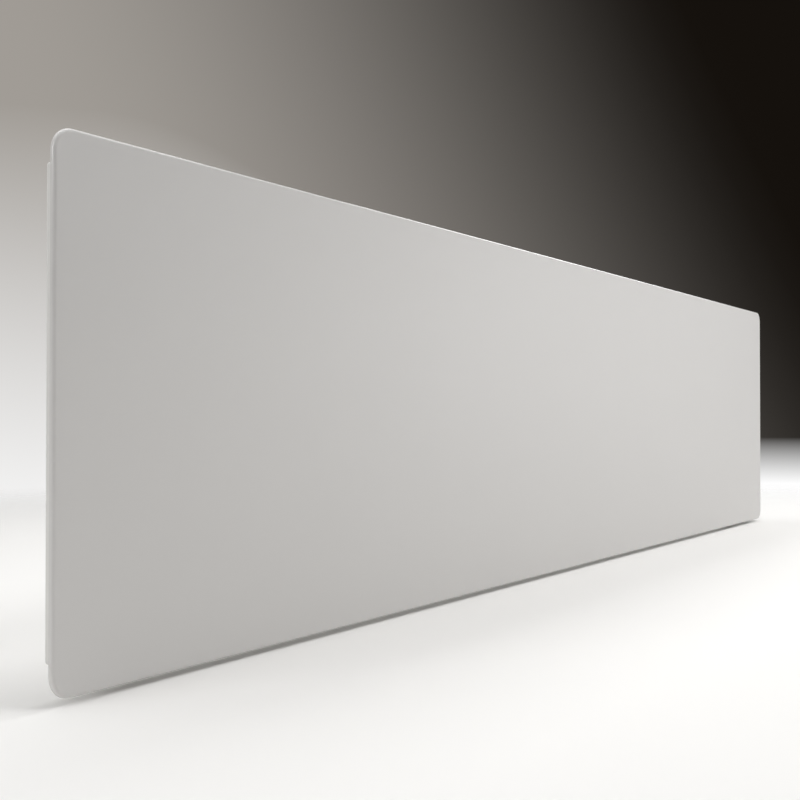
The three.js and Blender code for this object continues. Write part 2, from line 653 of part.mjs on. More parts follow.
function hook() {
  const middle = hookFront + HOOK_SHEET / 2;
  const profile = strip(middle, hookLegEnd, 90, HOOK_SHEET, [
    [hookRiser, -90, HOOK_BEND_RADIUS],
    [hookSpan - 2 * HOOK_BEND_RADIUS, -90, HOOK_BEND_RADIUS],
    [HOOK_DROP + HOOK_SHEET / 2 - HOOK_BEND_RADIUS],
  ], FOLD_STEPS);
  return cut(bar(profile, HOOK_WIDTH), ...rivetDrills());
}

function backingPlate() {
  const outline = roundedRectangle(backingWidth, backingHeight, BACKING_MARGIN, 0, backingMiddle);
  return cut(plate(outline, backingFront, BACKING_SHEET), ...rivetDrills());
}

// A set blind rivet along Y: its tail at the first depth, its domed head behind the second.
function rivet(tailFront, headFront) {
  const tailBack = tailFront + RIVET_TAIL_HEIGHT;
  return turnedBack([
    [0, tailFront],
    [RIVET_TAIL_RADIUS * 0.7, tailFront],
    [RIVET_TAIL_RADIUS, tailFront + RIVET_TAIL_HEIGHT / 2],
    [RIVET_TAIL_RADIUS * 0.9, tailBack],
    [RIVET_RADIUS, tailBack],
    [RIVET_RADIUS, headFront],
    [RIVET_HEAD_RADIUS, headFront],
    [RIVET_HEAD_RADIUS * 0.8, headFront + RIVET_HEAD_HEIGHT * 0.7],
    [RIVET_HEAD_RADIUS * 0.35, headFront + RIVET_HEAD_HEIGHT],
    [0, headFront + RIVET_HEAD_HEIGHT],
  ], FASTENER_STEPS);
}

const sideNames = ['left', 'right'];
HOOK_PLACES.forEach((x, index) => {
  piece(panel, `hook_${sideNames[index]}`, hook(), zincSteel, [x, 0, 0]);
  piece(panel, `backing_plate_${sideNames[index]}`, backingPlate(), zincSteel, [x, 0, 0]);
});
hookRivets.forEach((place, index) => {
  const shank = rivet(rivetTailFront, hookFront + HOOK_SHEET + SEAT_GAP);
  piece(panel, `hook_rivet_${index + 1}`, shank, stainless, place);
});

// ---- wall rail: a folded J, slotted for its wall screws

function wallRail() {
  const middle = RAIL_SHEET / 2;
  const shelf = RAIL_WEB_HEIGHT / 2 - middle;
  const profile = strip(-middle, -RAIL_WEB_HEIGHT / 2, 90, RAIL_SHEET, [
    [RAIL_WEB_HEIGHT - middle - RAIL_BEND_RADIUS, 90, RAIL_BEND_RADIUS],
    [RAIL_REACH - RAIL_SHEET - 2 * RAIL_BEND_RADIUS, -90, RAIL_BEND_RADIUS],
    [RAIL_LIP_TOP - shelf - RAIL_BEND_RADIUS],
  ], FOLD_STEPS);
  const slotSpan = RAIL_LENGTH - 2 * SLOT_FROM_END;
  const slots = Array.from({ length: SLOT_COUNT }, (_, index) => {
    const x = slotSpan * (index / (SLOT_COUNT - 1) - 1 / 2);
    const outline = roundedRectangle(SLOT_LENGTH, SLOT_WIDTH, SLOT_WIDTH / 2, x, 0);
    return plate(outline, -RAIL_SHEET - THROUGH, RAIL_SHEET + 2 * THROUGH);
  });
  return cut(bar(profile, RAIL_LENGTH), ...slots);
}

piece(wall, 'wall_rail', wallRail(), whiteSteel);

// ---- lower spacers, pushed into the back, with a rubber pad against the wall

const spacerLength = WALL_GAP - SEAT_GAP - PAD_THICKNESS - SEAT_GAP + PAD_RECESS;
const spacerFront = PANEL_DEPTH + SEAT_GAP;
const spacerEnd = spacerFront + spacerLength;
const padFront = PANEL_DEPTH + WALL_GAP - PAD_THICKNESS;
const spacerProfile = [
  [0, spacerStudFront],
  [SPACER_STUD_RADIUS - SPACER_BARB, spacerStudFront],
  [SPACER_STUD_RADIUS + SPACER_BARB, spacerStudFront + SPACER_BARB_LENGTH * 0.7],
  [SPACER_STUD_RADIUS + SPACER_BARB, spacerStudFront + SPACER_BARB_LENGTH],
  [SPACER_STUD_RADIUS, spacerStudFront + SPACER_BARB_LENGTH],
  [SPACER_STUD_RADIUS, spacerFront],
  [SPACER_RADIUS, spacerFront],
  [SPACER_RADIUS * 0.86, spacerEnd - PAD_RECESS / 2],
  [SPACER_RADIUS * 0.82, spacerEnd],
  [PAD_RADIUS + BORE_CLEARANCE, spacerEnd],
  [PAD_RADIUS + BORE_CLEARANCE, padFront - SEAT_GAP],
  [0, padFront - SEAT_GAP],
];
SPACER_PLACES.forEach((x, index) => {
  piece(panel, `spacer_${sideNames[index]}`, turnedBack(spacerProfile), whiteNylon, [x, 0, spacerHeight]);
  const pad = rodBack(PAD_RADIUS, padFront, padFront + PAD_THICKNESS, ROUND_STEPS);
  piece(panel, `spacer_pad_${sideNames[index]}`, pad, rubber, [x, 0, spacerHeight]);
});

// ---- terminal cover and its screws

const coverFront = PANEL_DEPTH + SEAT_GAP;
const coverPlate = plate(coverOutline(COVER_WIDTH, COVER_HEIGHT), coverFront, COVER_SHEET);
const coverHoles = coverScrews.map(([x, z]) => drillBack(
  SCREW_RADIUS, PANEL_DEPTH, PANEL_DEPTH + WALL_GAP,
).translate(x, 0, z));
piece(panel, 'terminal_cover', cut(coverPlate, ...coverHoles), whiteSteel);
const screwHeadFront = coverFront + COVER_SHEET + SEAT_GAP;
coverScrews.forEach(([x, z], index) => {
  const screw = turnedBack([
    [0, screwHeadFront - SCREW_LENGTH],
    [SCREW_RADIUS * 0.5, screwHeadFront - SCREW_LENGTH],
    [SCREW_RADIUS, screwHeadFront - SCREW_LENGTH + SCREW_RADIUS],
    [SCREW_RADIUS, screwHeadFront],
    [SCREW_HEAD_RADIUS, screwHeadFront],
    [SCREW_HEAD_RADIUS, screwHeadFront + SCREW_HEAD_HEIGHT * 0.6],
    [SCREW_HEAD_RADIUS * 0.7, screwHeadFront + SCREW_HEAD_HEIGHT],
    [0, screwHeadFront + SCREW_HEAD_HEIGHT],
  ], FASTENER_STEPS);
  piece(panel, `cover_screw_${index + 1}`, screw, stainless, [x, 0, z]);
});

// ---- cable gland in the lower wall; heights from here on are from the lower wall's outer face

const glandFlangeLow = -SEAT_GAP - GLAND_FLANGE_HEIGHT;
const glandSpigotLow = glandFlangeLow - GLAND_SPIGOT_LENGTH;
const glandTop = HOUSING_SHEET + GLAND_THREAD_LENGTH;
const glandBore = rod(GLAND_BORE_RADIUS, glandSpigotLow - THROUGH, glandTop + THROUGH, ROUND_STEPS);
const glandBody = cut(join(
  hexagon(GLAND_FLATS, glandFlangeLow, -SEAT_GAP),
  rod(GLAND_THREAD_RADIUS, -SEAT_GAP - THROUGH, glandTop, ROUND_STEPS),
  rod(GLAND_SPIGOT_RADIUS, glandSpigotLow, glandFlangeLow + THROUGH, ROUND_STEPS),
), glandBore);
const locknutLow = HOUSING_SHEET + SEAT_GAP;
const locknut = cut(
  hexagon(GLAND_FLATS, locknutLow, locknutLow + LOCKNUT_HEIGHT),
  drill(GLAND_THREAD_RADIUS, 0, GLAND_THREAD_LENGTH),
);
const capTop = glandFlangeLow - SEAT_GAP;
const capLow = capTop - CAP_HEIGHT;
const capInside = GLAND_SPIGOT_RADIUS + BORE_CLEARANCE;
const capOutside = GLAND_FLATS / 2;
const sealLow = glandSpigotLow - SEAT_GAP - SEAL_HEIGHT;
const cap = turned([
  [GLAND_BORE_RADIUS, capLow],
  [CAP_NOSE_RADIUS, capLow],
  [CAP_NOSE_RADIUS + CAP_WALL, capLow + CAP_WALL],
  [capOutside, capLow + CAP_HEIGHT * 0.45],
  [capOutside, capTop],
  [capInside, capTop],
  [capInside, sealLow - SEAT_GAP],
  [GLAND_BORE_RADIUS, sealLow - SEAT_GAP],
  [GLAND_BORE_RADIUS, capLow],
]);
const seal = turned([
  [SEAL_BORE_RADIUS, sealLow],
  [GLAND_SPIGOT_RADIUS, sealLow],
  [GLAND_SPIGOT_RADIUS, sealLow + SEAL_HEIGHT],
  [SEAL_BORE_RADIUS, sealLow + SEAL_HEIGHT],
  [SEAL_BORE_RADIUS, sealLow],
]);
const glandPlace = [GLAND_OFFSET, 0, 0];
piece(bay, 'gland_body', glandBody, blackNylon, glandPlace);
piece(bay, 'gland_locknut', locknut, blackNylon, glandPlace);
piece(bay, 'gland_cap', cap, blackNylon, glandPlace);
piece(bay, 'gland_seal', seal, rubber, glandPlace);

// ---- rocker switch in the lower wall

const bezelLow = -SEAT_GAP - BEZEL_HEIGHT;
const switchTop = bezelLow + BEZEL_HEIGHT + SWITCH_DEPTH;
const wellLength = SWITCH_LENGTH - 2 * SWITCH_WALL;
const wellWidth = SWITCH_WIDTH - 2 * SWITCH_WALL;
const bezel = new THREE.ExtrudeGeometry(roundedRectangle(BEZEL_LENGTH, BEZEL_WIDTH, BEZEL_CORNER_RADIUS), {
  depth: BEZEL_HEIGHT, bevelEnabled: false, curveSegments: 4,
}).translate(0, 0, bezelLow);
const switchBody = cut(
  join(bezel, block(SWITCH_LENGTH, SWITCH_WIDTH, SWITCH_DEPTH, 0, 0, switchTop - SWITCH_DEPTH / 2)),
  block(wellLength, wellWidth, SWITCH_DEPTH, 0, 0, switchTop - SWITCH_FLOOR - SWITCH_DEPTH / 2),
);

// The rocker's side view about its pivot, outer face down: two flats that dip to the middle.
function rockerSolid() {
  const half = ROCKER_LENGTH / 2;
  const shape = new THREE.Shape();
  shape.moveTo(-half, -ROCKER_RISE);
  shape.quadraticCurveTo(-half * 0.4, -ROCKER_RISE + ROCKER_DIP * 0.8, 0, -ROCKER_RISE + ROCKER_DIP);
  shape.quadraticCurveTo(half * 0.4, -ROCKER_RISE + ROCKER_DIP * 0.8, half, -ROCKER_RISE);
  shape.lineTo(half, 0);
  shape.quadraticCurveTo(half * 0.9, half * 0.45, half * 0.4, half * 0.45);
  shape.lineTo(-half * 0.4, half * 0.45);
  shape.quadraticCurveTo(-half * 0.9, half * 0.45, -half, 0);
  const width = wellWidth - 2 * ROCKER_SIDE_CLEARANCE;
  const geometry = new THREE.ExtrudeGeometry(shape, { depth: width, bevelEnabled: false, curveSegments: 5 });
  geometry.translate(0, 0, -width / 2);
  return geometry.applyMatrix4(new THREE.Matrix4().makeBasis(X, Z, Y.clone().negate()));
}

const switchPlace = [SWITCH_OFFSET, 0, 0];
piece(bay, 'switch_body', switchBody, blackNylon, switchPlace);
const pivotPlace = [SWITCH_OFFSET, 0, bezelLow + PIVOT_DEPTH];
const rocker = piece(bay, 'switch_rocker', rockerSolid(), blackNylon, pivotPlace);
rocker.rotation.y = THREE.MathUtils.degToRad(ROCKER_TILT);
[-1, 1].forEach((side, index) => {
  const tab = block(TAB_WIDTH, TAB_SHEET, TAB_LENGTH, 0, 0, switchTop + SEAT_GAP + TAB_LENGTH / 2);
  piece(bay, `switch_tab_${index + 1}`, tab, brass, [SWITCH_OFFSET + (side * TAB_SPACING) / 2, 0, 0]);
});

// ---- terminal block on a folded bracket; depths here are from the bay's mid depth

const legFront = bracketLegFront - MID_DEPTH;
const bracketLow = HOUSING_SHEET + SEAT_GAP;
const blockWidth = BLOCK_POLES * POLE_PITCH + 2 * BLOCK_END_WALL;
const blockTop = BLOCK_UP + BLOCK_HEIGHT;
const bracketProfile = strip(
  legFront + BRACKET_SHEET + BRACKET_FOOT, bracketLow + BRACKET_SHEET / 2, 180, BRACKET_SHEET, [
    [BRACKET_FOOT + BRACKET_SHEET / 2 - BRACKET_BEND_RADIUS, -90, BRACKET_BEND_RADIUS],
    [blockTop - bracketLow - BRACKET_SHEET / 2 - BRACKET_BEND_RADIUS],
  ], FOLD_STEPS,
);
const bracketRivetHole = drill(RIVET_RADIUS, 0, BRACKET_FOOT).translate(0, bracketRivetDepth - MID_DEPTH, 0);
const bracket = cut(bar(bracketProfile, blockWidth - 2 * BRACKET_INSET), bracketRivetHole);
piece(bay, 'terminal_bracket', bracket, zincSteel);
const bracketRivet = rivet(
  -(bracketLow + BRACKET_SHEET + SEAT_GAP + RIVET_TAIL_HEIGHT), SEAT_GAP,
).rotateX(-Math.PI / 2);
piece(bay, 'bracket_rivet', bracketRivet, stainless, [0, bracketRivetDepth - MID_DEPTH, 0]);

function terminalBlock() {
  const front = legFront + BRACKET_SHEET + SEAT_GAP;
  const back = front + BLOCK_DEPTH;
  const profile = new THREE.Shape();
  profile.moveTo(front, BLOCK_UP);
  profile.lineTo(back - BLOCK_STEP, BLOCK_UP);
  profile.lineTo(back - BLOCK_STEP, BLOCK_UP + BLOCK_SHOULDER);
  profile.lineTo(back, BLOCK_UP + BLOCK_SHOULDER);
  profile.lineTo(back, blockTop - BLOCK_SHOULDER);
  profile.lineTo(back - BLOCK_STEP, blockTop - BLOCK_SHOULDER);
  profile.lineTo(back - BLOCK_STEP, blockTop);
  profile.lineTo(front, blockTop);
  const wells = [];
  for (let pole = 0; pole < BLOCK_POLES; pole++) {
    const x = poleOffset(pole);
    for (const half of eitherSide(BLOCK_HEIGHT / 2)) {
      const mouth = BLOCK_UP + BLOCK_HEIGHT / 2 + half;
      const screwHeight = mouth - Math.sign(half) * (BLOCK_SHOULDER + POLE_SCREW_WALL + POLE_SCREW_RADIUS);
      const well = rodBack(POLE_SCREW_RADIUS, back - POLE_SCREW_WELL, back + THROUGH, HOLE_STEPS);
      const entry = rod(POLE_ENTRY_RADIUS, -POLE_ENTRY_DEPTH, POLE_ENTRY_DEPTH, HOLE_STEPS);
      wells.push(well.translate(x, 0, screwHeight), entry.translate(x, poleDepth, mouth));
    }
  }
  return cut(bar(profile, blockWidth), ...wells);
}

const poleOffset = (pole) => (pole - (BLOCK_POLES - 1) / 2) * POLE_PITCH;
const poleDepth = legFront + BRACKET_SHEET + SEAT_GAP + POLE_ENTRY_LEVEL;
piece(bay, 'terminal_block', terminalBlock(), whiteNylon);

// ---- earth stud on the lower wall

const studLow = HOUSING_SHEET + SEAT_GAP;
const washerLow = studLow + SEAT_GAP;
const lugLow = washerLow + EARTH_WASHER_HEIGHT + SEAT_GAP;
const nutLow = lugLow + EARTH_LUG_SHEET + SEAT_GAP;
const earthPlace = [EARTH_OFFSET, 0, 0];
const earthDrill = drill(EARTH_STUD_RADIUS, 0, EARTH_STUD_LENGTH);
const earthStud = rod(EARTH_STUD_RADIUS, studLow, studLow + EARTH_STUD_LENGTH, HOLE_STEPS);
piece(bay, 'earth_stud', earthStud, stainless, earthPlace);
const washer = cut(
  rod(EARTH_WASHER_RADIUS, washerLow, washerLow + EARTH_WASHER_HEIGHT, ROUND_STEPS),
  earthDrill,
);
piece(bay, 'earth_washer', washer, stainless, earthPlace);
const barrelTop = lugLow + EARTH_BARREL_HEIGHT;
const earthLug = cut(join(
  rod(EARTH_LUG_RADIUS, lugLow, lugLow + EARTH_LUG_SHEET, ROUND_STEPS),
  block(
    EARTH_LUG_REACH, 2 * EARTH_BARREL_RADIUS, EARTH_LUG_SHEET,
    -EARTH_LUG_REACH / 2, 0, lugLow + EARTH_LUG_SHEET / 2,
  ),
  rod(EARTH_BARREL_RADIUS, lugLow, barrelTop, HOLE_STEPS).translate(-EARTH_LUG_REACH, 0, 0),
), earthDrill);
piece(bay, 'earth_lug', earthLug, brass, earthPlace);
const earthNut = cut(hexagon(EARTH_NUT_FLATS, nutLow, nutLow + EARTH_NUT_HEIGHT), earthDrill);
piece(bay, 'earth_nut', earthNut, stainless, earthPlace);

// ---- thermal cut-outs, standing on the reflector

const cutoutFront = REFLECTOR_BACK + SEAT_GAP - MID_DEPTH;
const cutoutBack = cutoutFront + CUTOUT_HEIGHT;
const lugDepth = cutoutBack - CUTOUT_TAB_SETBACK;
CUTOUT_OFFSETS.forEach((x, index) => {
  const body = turnedBack([
    [0, cutoutFront],
    [CUTOUT_CAP_RADIUS, cutoutFront],
    [CUTOUT_CAP_RADIUS, cutoutFront + CUTOUT_CAP_HEIGHT],
    [CUTOUT_RADIUS, cutoutFront + CUTOUT_CAP_HEIGHT],
    [CUTOUT_RADIUS, cutoutBack - CUTOUT_CHAMFER],
    [CUTOUT_RADIUS - CUTOUT_CHAMFER, cutoutBack],
    [0, cutoutBack],
  ]).translate(0, 0, CUTOUT_UP);
  const lugs = [-1, 1].map((side) => block(
    CUTOUT_TAB_LENGTH + CUTOUT_TAB_ROOT, TAB_SHEET, TAB_WIDTH,
    side * (CUTOUT_RADIUS + (CUTOUT_TAB_LENGTH - CUTOUT_TAB_ROOT) / 2), lugDepth, CUTOUT_UP,
  ));
  piece(bay, `thermal_cutout_${index + 1}`, join(body, ...lugs), blackNylon, [x, 0, 0]);
});

// ---- internal leads, in the bay's frame

const [earthPole, livePole, neutralPole] = [0, 1, 2].map(poleOffset);
const poleMouth = blockTop + SEAT_GAP;
const [tabNear, tabFar] = [-1, 1].map((side) => SWITCH_OFFSET + (side * TAB_SPACING) / 2);
const tabMouth = switchTop + 2 * SEAT_GAP + TAB_LENGTH;
const lugReach = CUTOUT_RADIUS + CUTOUT_TAB_LENGTH + SEAT_GAP;
const [nearCutout, farCutout] = CUTOUT_OFFSETS;
const eyeletX = returnX - BAY_X;
const eyeletMouth = eyeletTo + SEAT_GAP - MID_DEPTH;
const [lowEyelet, highEyelet] = eyeletHeights.map((z) => z - LOWER_WALL);
const earthX = EARTH_OFFSET - EARTH_LUG_REACH;

const underBlock = BLOCK_UP - LEAD_UNDER_BLOCK;
const frontRun = -LEAD_FRONT_RUN;
const overBlock = poleMouth + LEAD_BEND;

piece(bay, 'lead_neutral', lead([
  [neutralPole, poleDepth, poleMouth],
  [neutralPole, poleDepth, poleMouth + LEAD_TAKE_OFF],
  [neutralPole + 0.7 * LEAD_BEND, poleDepth + LEAD_RADIUS, overBlock],
  [eyeletX - 1.5 * LEAD_BEND, poleDepth + 2 * LEAD_RADIUS, overBlock],
  [eyeletX - LEAD_RADIUS, poleDepth + 2 * LEAD_RADIUS, highEyelet + 1.3 * LEAD_BEND],
  [eyeletX, eyeletMouth + 1.5 * LEAD_TAKE_OFF, highEyelet + LEAD_RADIUS],
  [eyeletX, eyeletMouth + LEAD_RADIUS, highEyelet],
  [eyeletX, eyeletMouth, highEyelet],
]), blueLead);
piece(bay, 'lead_live', lead([
  [livePole, poleDepth, poleMouth],
  [livePole, poleDepth, poleMouth + LEAD_TAKE_OFF],
  [livePole + 0.7 * LEAD_BEND, poleDepth + 0.7 * LEAD_BEND, poleMouth + 0.8 * LEAD_BEND],
  [blockWidth / 2 + LEAD_TAKE_OFF, poleDepth + 0.8 * LEAD_BEND, poleMouth - LEAD_RADIUS],
  [tabNear - 2 * LEAD_RADIUS, 2 * LEAD_RADIUS, tabMouth + 1.5 * LEAD_BEND],
  [tabNear, 0, tabMouth + LEAD_TAKE_OFF],
  [tabNear, 0, tabMouth],
]), brownLead);
piece(bay, 'lead_earth', lead([
  [earthPole, poleDepth, poleMouth],
  [earthPole, poleDepth, poleMouth + LEAD_TAKE_OFF],
  [earthPole - LEAD_BEND, poleDepth + LEAD_RADIUS, overBlock],
  [earthX + 1.5 * LEAD_BEND, 0, poleMouth + LEAD_TAKE_OFF],
  [earthX, 0, barrelTop + 2 * LEAD_BEND],
  [earthX, 0, barrelTop + SEAT_GAP + LEAD_TAKE_OFF],
  [earthX, 0, barrelTop + SEAT_GAP],
]), earthLead);
piece(bay, 'lead_switched', lead([
  [tabFar, 0, tabMouth],
  [tabFar, 0, tabMouth + LEAD_TAKE_OFF],
  [tabFar - LEAD_BEND / 2, -2 * LEAD_RADIUS, tabMouth + 0.8 * LEAD_BEND],
  [tabFar - 2 * LEAD_BEND, -2 * LEAD_RADIUS, tabMouth + 0.9 * LEAD_BEND],
  [0, -2 * LEAD_RADIUS, underBlock],
  [EARTH_OFFSET + 1.5 * LEAD_BEND, frontRun, underBlock],
  [EARTH_OFFSET - LEAD_BEND, frontRun, CUTOUT_UP - LEAD_TAKE_OFF],
  [nearCutout + lugReach + LEAD_BEND, lugDepth, CUTOUT_UP],
  [nearCutout + lugReach, lugDepth, CUTOUT_UP],
]), brownLead);
piece(bay, 'lead_link', lead([
  [nearCutout - lugReach, lugDepth, CUTOUT_UP],
  [nearCutout - lugReach - LEAD_TAKE_OFF, lugDepth, CUTOUT_UP],
  [(nearCutout + farCutout) / 2, lugDepth, CUTOUT_UP + LEAD_RADIUS],
  [farCutout + lugReach + LEAD_TAKE_OFF, lugDepth, CUTOUT_UP],
  [farCutout + lugReach, lugDepth, CUTOUT_UP],
]), brownLead);
piece(bay, 'lead_heater', lead([
  [farCutout - lugReach, lugDepth, CUTOUT_UP],
  [farCutout - lugReach - LEAD_TAKE_OFF, lugDepth, CUTOUT_UP],
  [farCutout - lugReach - 0.8 * LEAD_BEND, lugDepth, CUTOUT_UP - 0.7 * LEAD_BEND],
  [farCutout - lugReach, lugDepth, CUTOUT_UP - 1.8 * LEAD_BEND],
  [nearCutout, lugDepth + LEAD_RADIUS, LEAD_LOW_RUN],
  [EARTH_OFFSET - LEAD_BEND, frontRun - LEAD_RADIUS, LEAD_LOW_RUN],
  [EARTH_OFFSET + LEAD_BEND, frontRun - LEAD_RADIUS, LEAD_LOW_RUN],
  [-2 * LEAD_BEND, -LEAD_TAKE_OFF, LEAD_LOW_RUN],
  [2 * LEAD_BEND, -LEAD_TAKE_OFF, LEAD_LOW_RUN],
  [tabFar, frontRun, LEAD_LOW_RUN],
  [eyeletX - 0.8 * LEAD_BEND, -2 * LEAD_RADIUS, lowEyelet - LEAD_RADIUS],
  [eyeletX - LEAD_RADIUS, eyeletMouth + LEAD_TAKE_OFF, lowEyelet],
  [eyeletX, eyeletMouth + LEAD_RADIUS, lowEyelet],
  [eyeletX, eyeletMouth, lowEyelet],
]), brownLead);

export default part;
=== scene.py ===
import json
import math

import bmesh
import bpy
from bpy.props import FloatProperty, FloatVectorProperty, IntProperty, PointerProperty
from mathutils import Matrix, Vector


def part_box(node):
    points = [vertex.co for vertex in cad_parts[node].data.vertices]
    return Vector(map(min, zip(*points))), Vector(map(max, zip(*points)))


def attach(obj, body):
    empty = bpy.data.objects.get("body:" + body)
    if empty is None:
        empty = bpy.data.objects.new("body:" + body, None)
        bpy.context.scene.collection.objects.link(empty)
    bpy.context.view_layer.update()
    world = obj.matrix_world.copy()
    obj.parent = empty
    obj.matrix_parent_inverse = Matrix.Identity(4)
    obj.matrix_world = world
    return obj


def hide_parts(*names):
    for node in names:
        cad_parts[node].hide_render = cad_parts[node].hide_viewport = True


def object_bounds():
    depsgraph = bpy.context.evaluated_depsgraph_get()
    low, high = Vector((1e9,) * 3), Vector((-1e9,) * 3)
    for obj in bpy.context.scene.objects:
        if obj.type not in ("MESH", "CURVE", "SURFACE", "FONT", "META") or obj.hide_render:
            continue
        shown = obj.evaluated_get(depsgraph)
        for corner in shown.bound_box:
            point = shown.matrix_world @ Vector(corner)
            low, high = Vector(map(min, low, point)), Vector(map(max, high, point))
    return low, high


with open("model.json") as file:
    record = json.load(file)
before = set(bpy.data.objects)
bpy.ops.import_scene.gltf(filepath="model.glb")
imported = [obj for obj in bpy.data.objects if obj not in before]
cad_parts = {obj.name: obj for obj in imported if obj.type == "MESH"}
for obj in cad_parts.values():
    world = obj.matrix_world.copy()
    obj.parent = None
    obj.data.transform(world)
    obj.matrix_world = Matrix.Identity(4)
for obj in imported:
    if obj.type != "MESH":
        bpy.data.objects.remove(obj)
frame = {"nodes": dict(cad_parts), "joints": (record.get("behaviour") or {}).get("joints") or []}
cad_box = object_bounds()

bl_info = {
    "name": "Infrared panel heater",
    "version": (1, 0, 0),
    "blender": (4, 5, 0),
    "location": "3D View > Sidebar > Panel Heater",
    "description": "Finishes a glass-fronted infrared panel heater on its wall rail",
    "category": "Object",
}

MM = 0.001
PANEL = "heater_panel"
ROCKER = "rocker"


def linear(hex_colour):
    """An sRGB hex colour as linear red, green and blue."""
    parts = [int(hex_colour[at:at + 2], 16) / 255 for at in (1, 3, 5)]
    return [part / 12.92 if part <= 0.04045 else ((part + 0.055) / 1.055) ** 2.4 for part in parts]


def length(name, description, millimetres):
    """A length that a user may change."""
    return FloatProperty(
        name=name, description=description, default=millimetres * MM, min=0, unit="LENGTH",
        precision=5,
    )


def colour(name, description, hex_colour):
    """A colour that a user may change."""
    return FloatVectorProperty(
        name=name, description=description, default=linear(hex_colour), subtype="COLOR", size=3,
        min=0, max=1,
    )


def power(name, description, watts):
    """A lamp's power that a user may change."""
    return FloatProperty(name=name, description=description, default=watts, unit="POWER")


# ---------------------------------------------------------------- what a user would change


class PlateSettings(bpy.types.PropertyGroup):
    """The glass front plate and its bond line."""

    corner_radius: length("Corner radius", "Radius of the plate's four corners", 18)
    edge_radius: length("Edge radius", "Radius of the ground front edge", 2.6)
    arris: length("Arris", "Chamfer that takes the sharpness off the back edge", 0.12)
    glass_colour: colour("Glass", "Etched glass over its enamel", "#D4D2D0")
    polish_colour: colour("Polished edge", "Edge of the glass, which lets light out", "#D8D6D4")
    enamel_colour: colour("Enamel", "Enamel fired on the back of the glass", "#DCDBD8")
    silicone_colour: colour("Silicone", "Adhesive between glass and housing", "#C9C8C4")


class SteelSettings(bpy.types.PropertyGroup):
    """Folded steel: housing, cover, rail and hooks."""

    powder_colour: colour("Powder coat", "Housing, terminal cover and wall rail", "#DEDDDA")
    zinc_colour: colour("Zinc", "Hooks, backing plates and bracket", "#C3C6C9")
    stainless_colour: colour("Stainless", "Rivets, screws and earth stud", "#C8C6C2")
    orange_peel: length("Orange peel", "Width of a ripple in the powder coat", 1.6)
    edge_break: length("Edge break", "Rounding of sheared sheet edges", 0.2)


class PlasticSettings(bpy.types.PropertyGroup):
    """Moulded pieces."""

    black_colour: colour("Black nylon", "Gland, switch and cut-outs", "#232427")
    white_colour: colour("White nylon", "Spacers and terminal block", "#DEDDD8")
    rubber_colour: colour("Rubber", "Wall pads and gland seal", "#2A2A2B")
    mark_colour: colour("Switch marks", "Printed marks on the rocker", "#E6E5E1")
    cap_ribs: IntProperty(
        name="Cap ribs", description="Grip ribs round the gland's cap", default=18, min=6,
    )


class InsideSettings(bpy.types.PropertyGroup):
    """What the housing closes in."""

    film_colour: colour("Film", "Polyimide film of the laminate", "#B5722A")
    foil_colour: colour("Foil", "Etched resistance foil", "#8C8F93")
    aluminium_colour: colour("Aluminium", "Reflector sheet", "#D4D6D8")
    wool_colour: colour("Mineral wool", "Insulation board", "#C6BB93")
    brass_colour: colour("Brass", "Stamped terminals and tabs", "#C8A45A")
    brown_colour: colour("Live leads", "Insulation of the live leads", "#6B3F22")
    blue_colour: colour("Neutral lead", "Insulation of the neutral lead", "#2F62A8")
    green_colour: colour("Earth green", "Ground colour of the earth lead", "#3E7B35")
    yellow_colour: colour("Earth yellow", "Stripe of the earth lead", "#D9C22E")


class StageSettings(bpy.types.PropertyGroup):
    """Floor, backdrop, lamps and camera."""

    floor_gap: length("Floor gap", "From the plate's lower edge to the floor", 4.8)
    floor_colour: colour("Floor", "Pale studio floor as it is seen", "#EEEDEB")
    floor_bounce: colour("Floor bounce", "Light that the floor throws back", "#EEEDEB")
    room_light: FloatProperty(
        name="Room light", description="Strength of the soft light from above", default=0.28, min=0,
    )
    top_power: power("Overhead lamp", "Long soft lamp over the floor in front", 22.5)
    back_power: power("Back lamp", "Long soft lamp over the floor behind", 24)
    rim_power: power("Rim lamp", "Soft lamp beyond the far end, for the plate's rim", 28)
    side_power: power("Side lamp", "Soft lamp beside the near end", 19)
    end_power: power("Far lamp", "Soft lamp in front of the far end", 21)
    front_power: power("Front lamp", "Soft lamp high before the panel", 27)
    camera_place: FloatVectorProperty(
        name="Camera place", description="Where the camera stands",
        default=(-1.4853, -0.6888, -0.1152), subtype="TRANSLATION", size=3, unit="LENGTH",
    )
    camera_heading: FloatVectorProperty(
        name="Camera heading", description="Direction that the camera looks in",
        default=(0.85154, 0.5241, 0.01411), subtype="DIRECTION", size=3,
    )
    focal_length: FloatProperty(
        name="Focal length", description="Of a 36 mm sensor", default=54.49, unit="CAMERA",
    )


# ---------------------------------------------------------------- mesh forms


def skin(rings, loop=False):
    """A mesh through rings of equally many points; its ends are capped, or joined in a loop."""
    form = bmesh.new()
    rows = [[form.verts.new(point) for point in ring] for ring in rings]
    count = len(rows[0])
    for near, far in zip(rows, rows[1:] + rows[:1] if loop else rows[1:]):
        for at in range(count):
            after = (at + 1) % count
            form.faces.new((near[at], near[after], far[after], far[at]))
    if not loop:
        form.faces.new(reversed(rows[0]))
        form.faces.new(rows[-1])
    bmesh.ops.recalc_face_normals(form, faces=form.faces)
    return form


def rounded_ring(width, height, radius, inset, steps):
    """Points round a rectangle with round corners, all moved inwards by the inset."""
    ring = []
    for corner, (side_x, side_y) in enumerate(((1, 1), (-1, 1), (-1, -1), (1, -1))):
        centre = Vector((side_x * (width / 2 - radius), side_y * (height / 2 - radius)))
        for step in range(steps + 1):
            angle = math.radians(90 * (corner + step / steps))
            ring.append(centre + (radius - inset) * Vector((math.cos(angle), math.sin(angle))))
    return ring


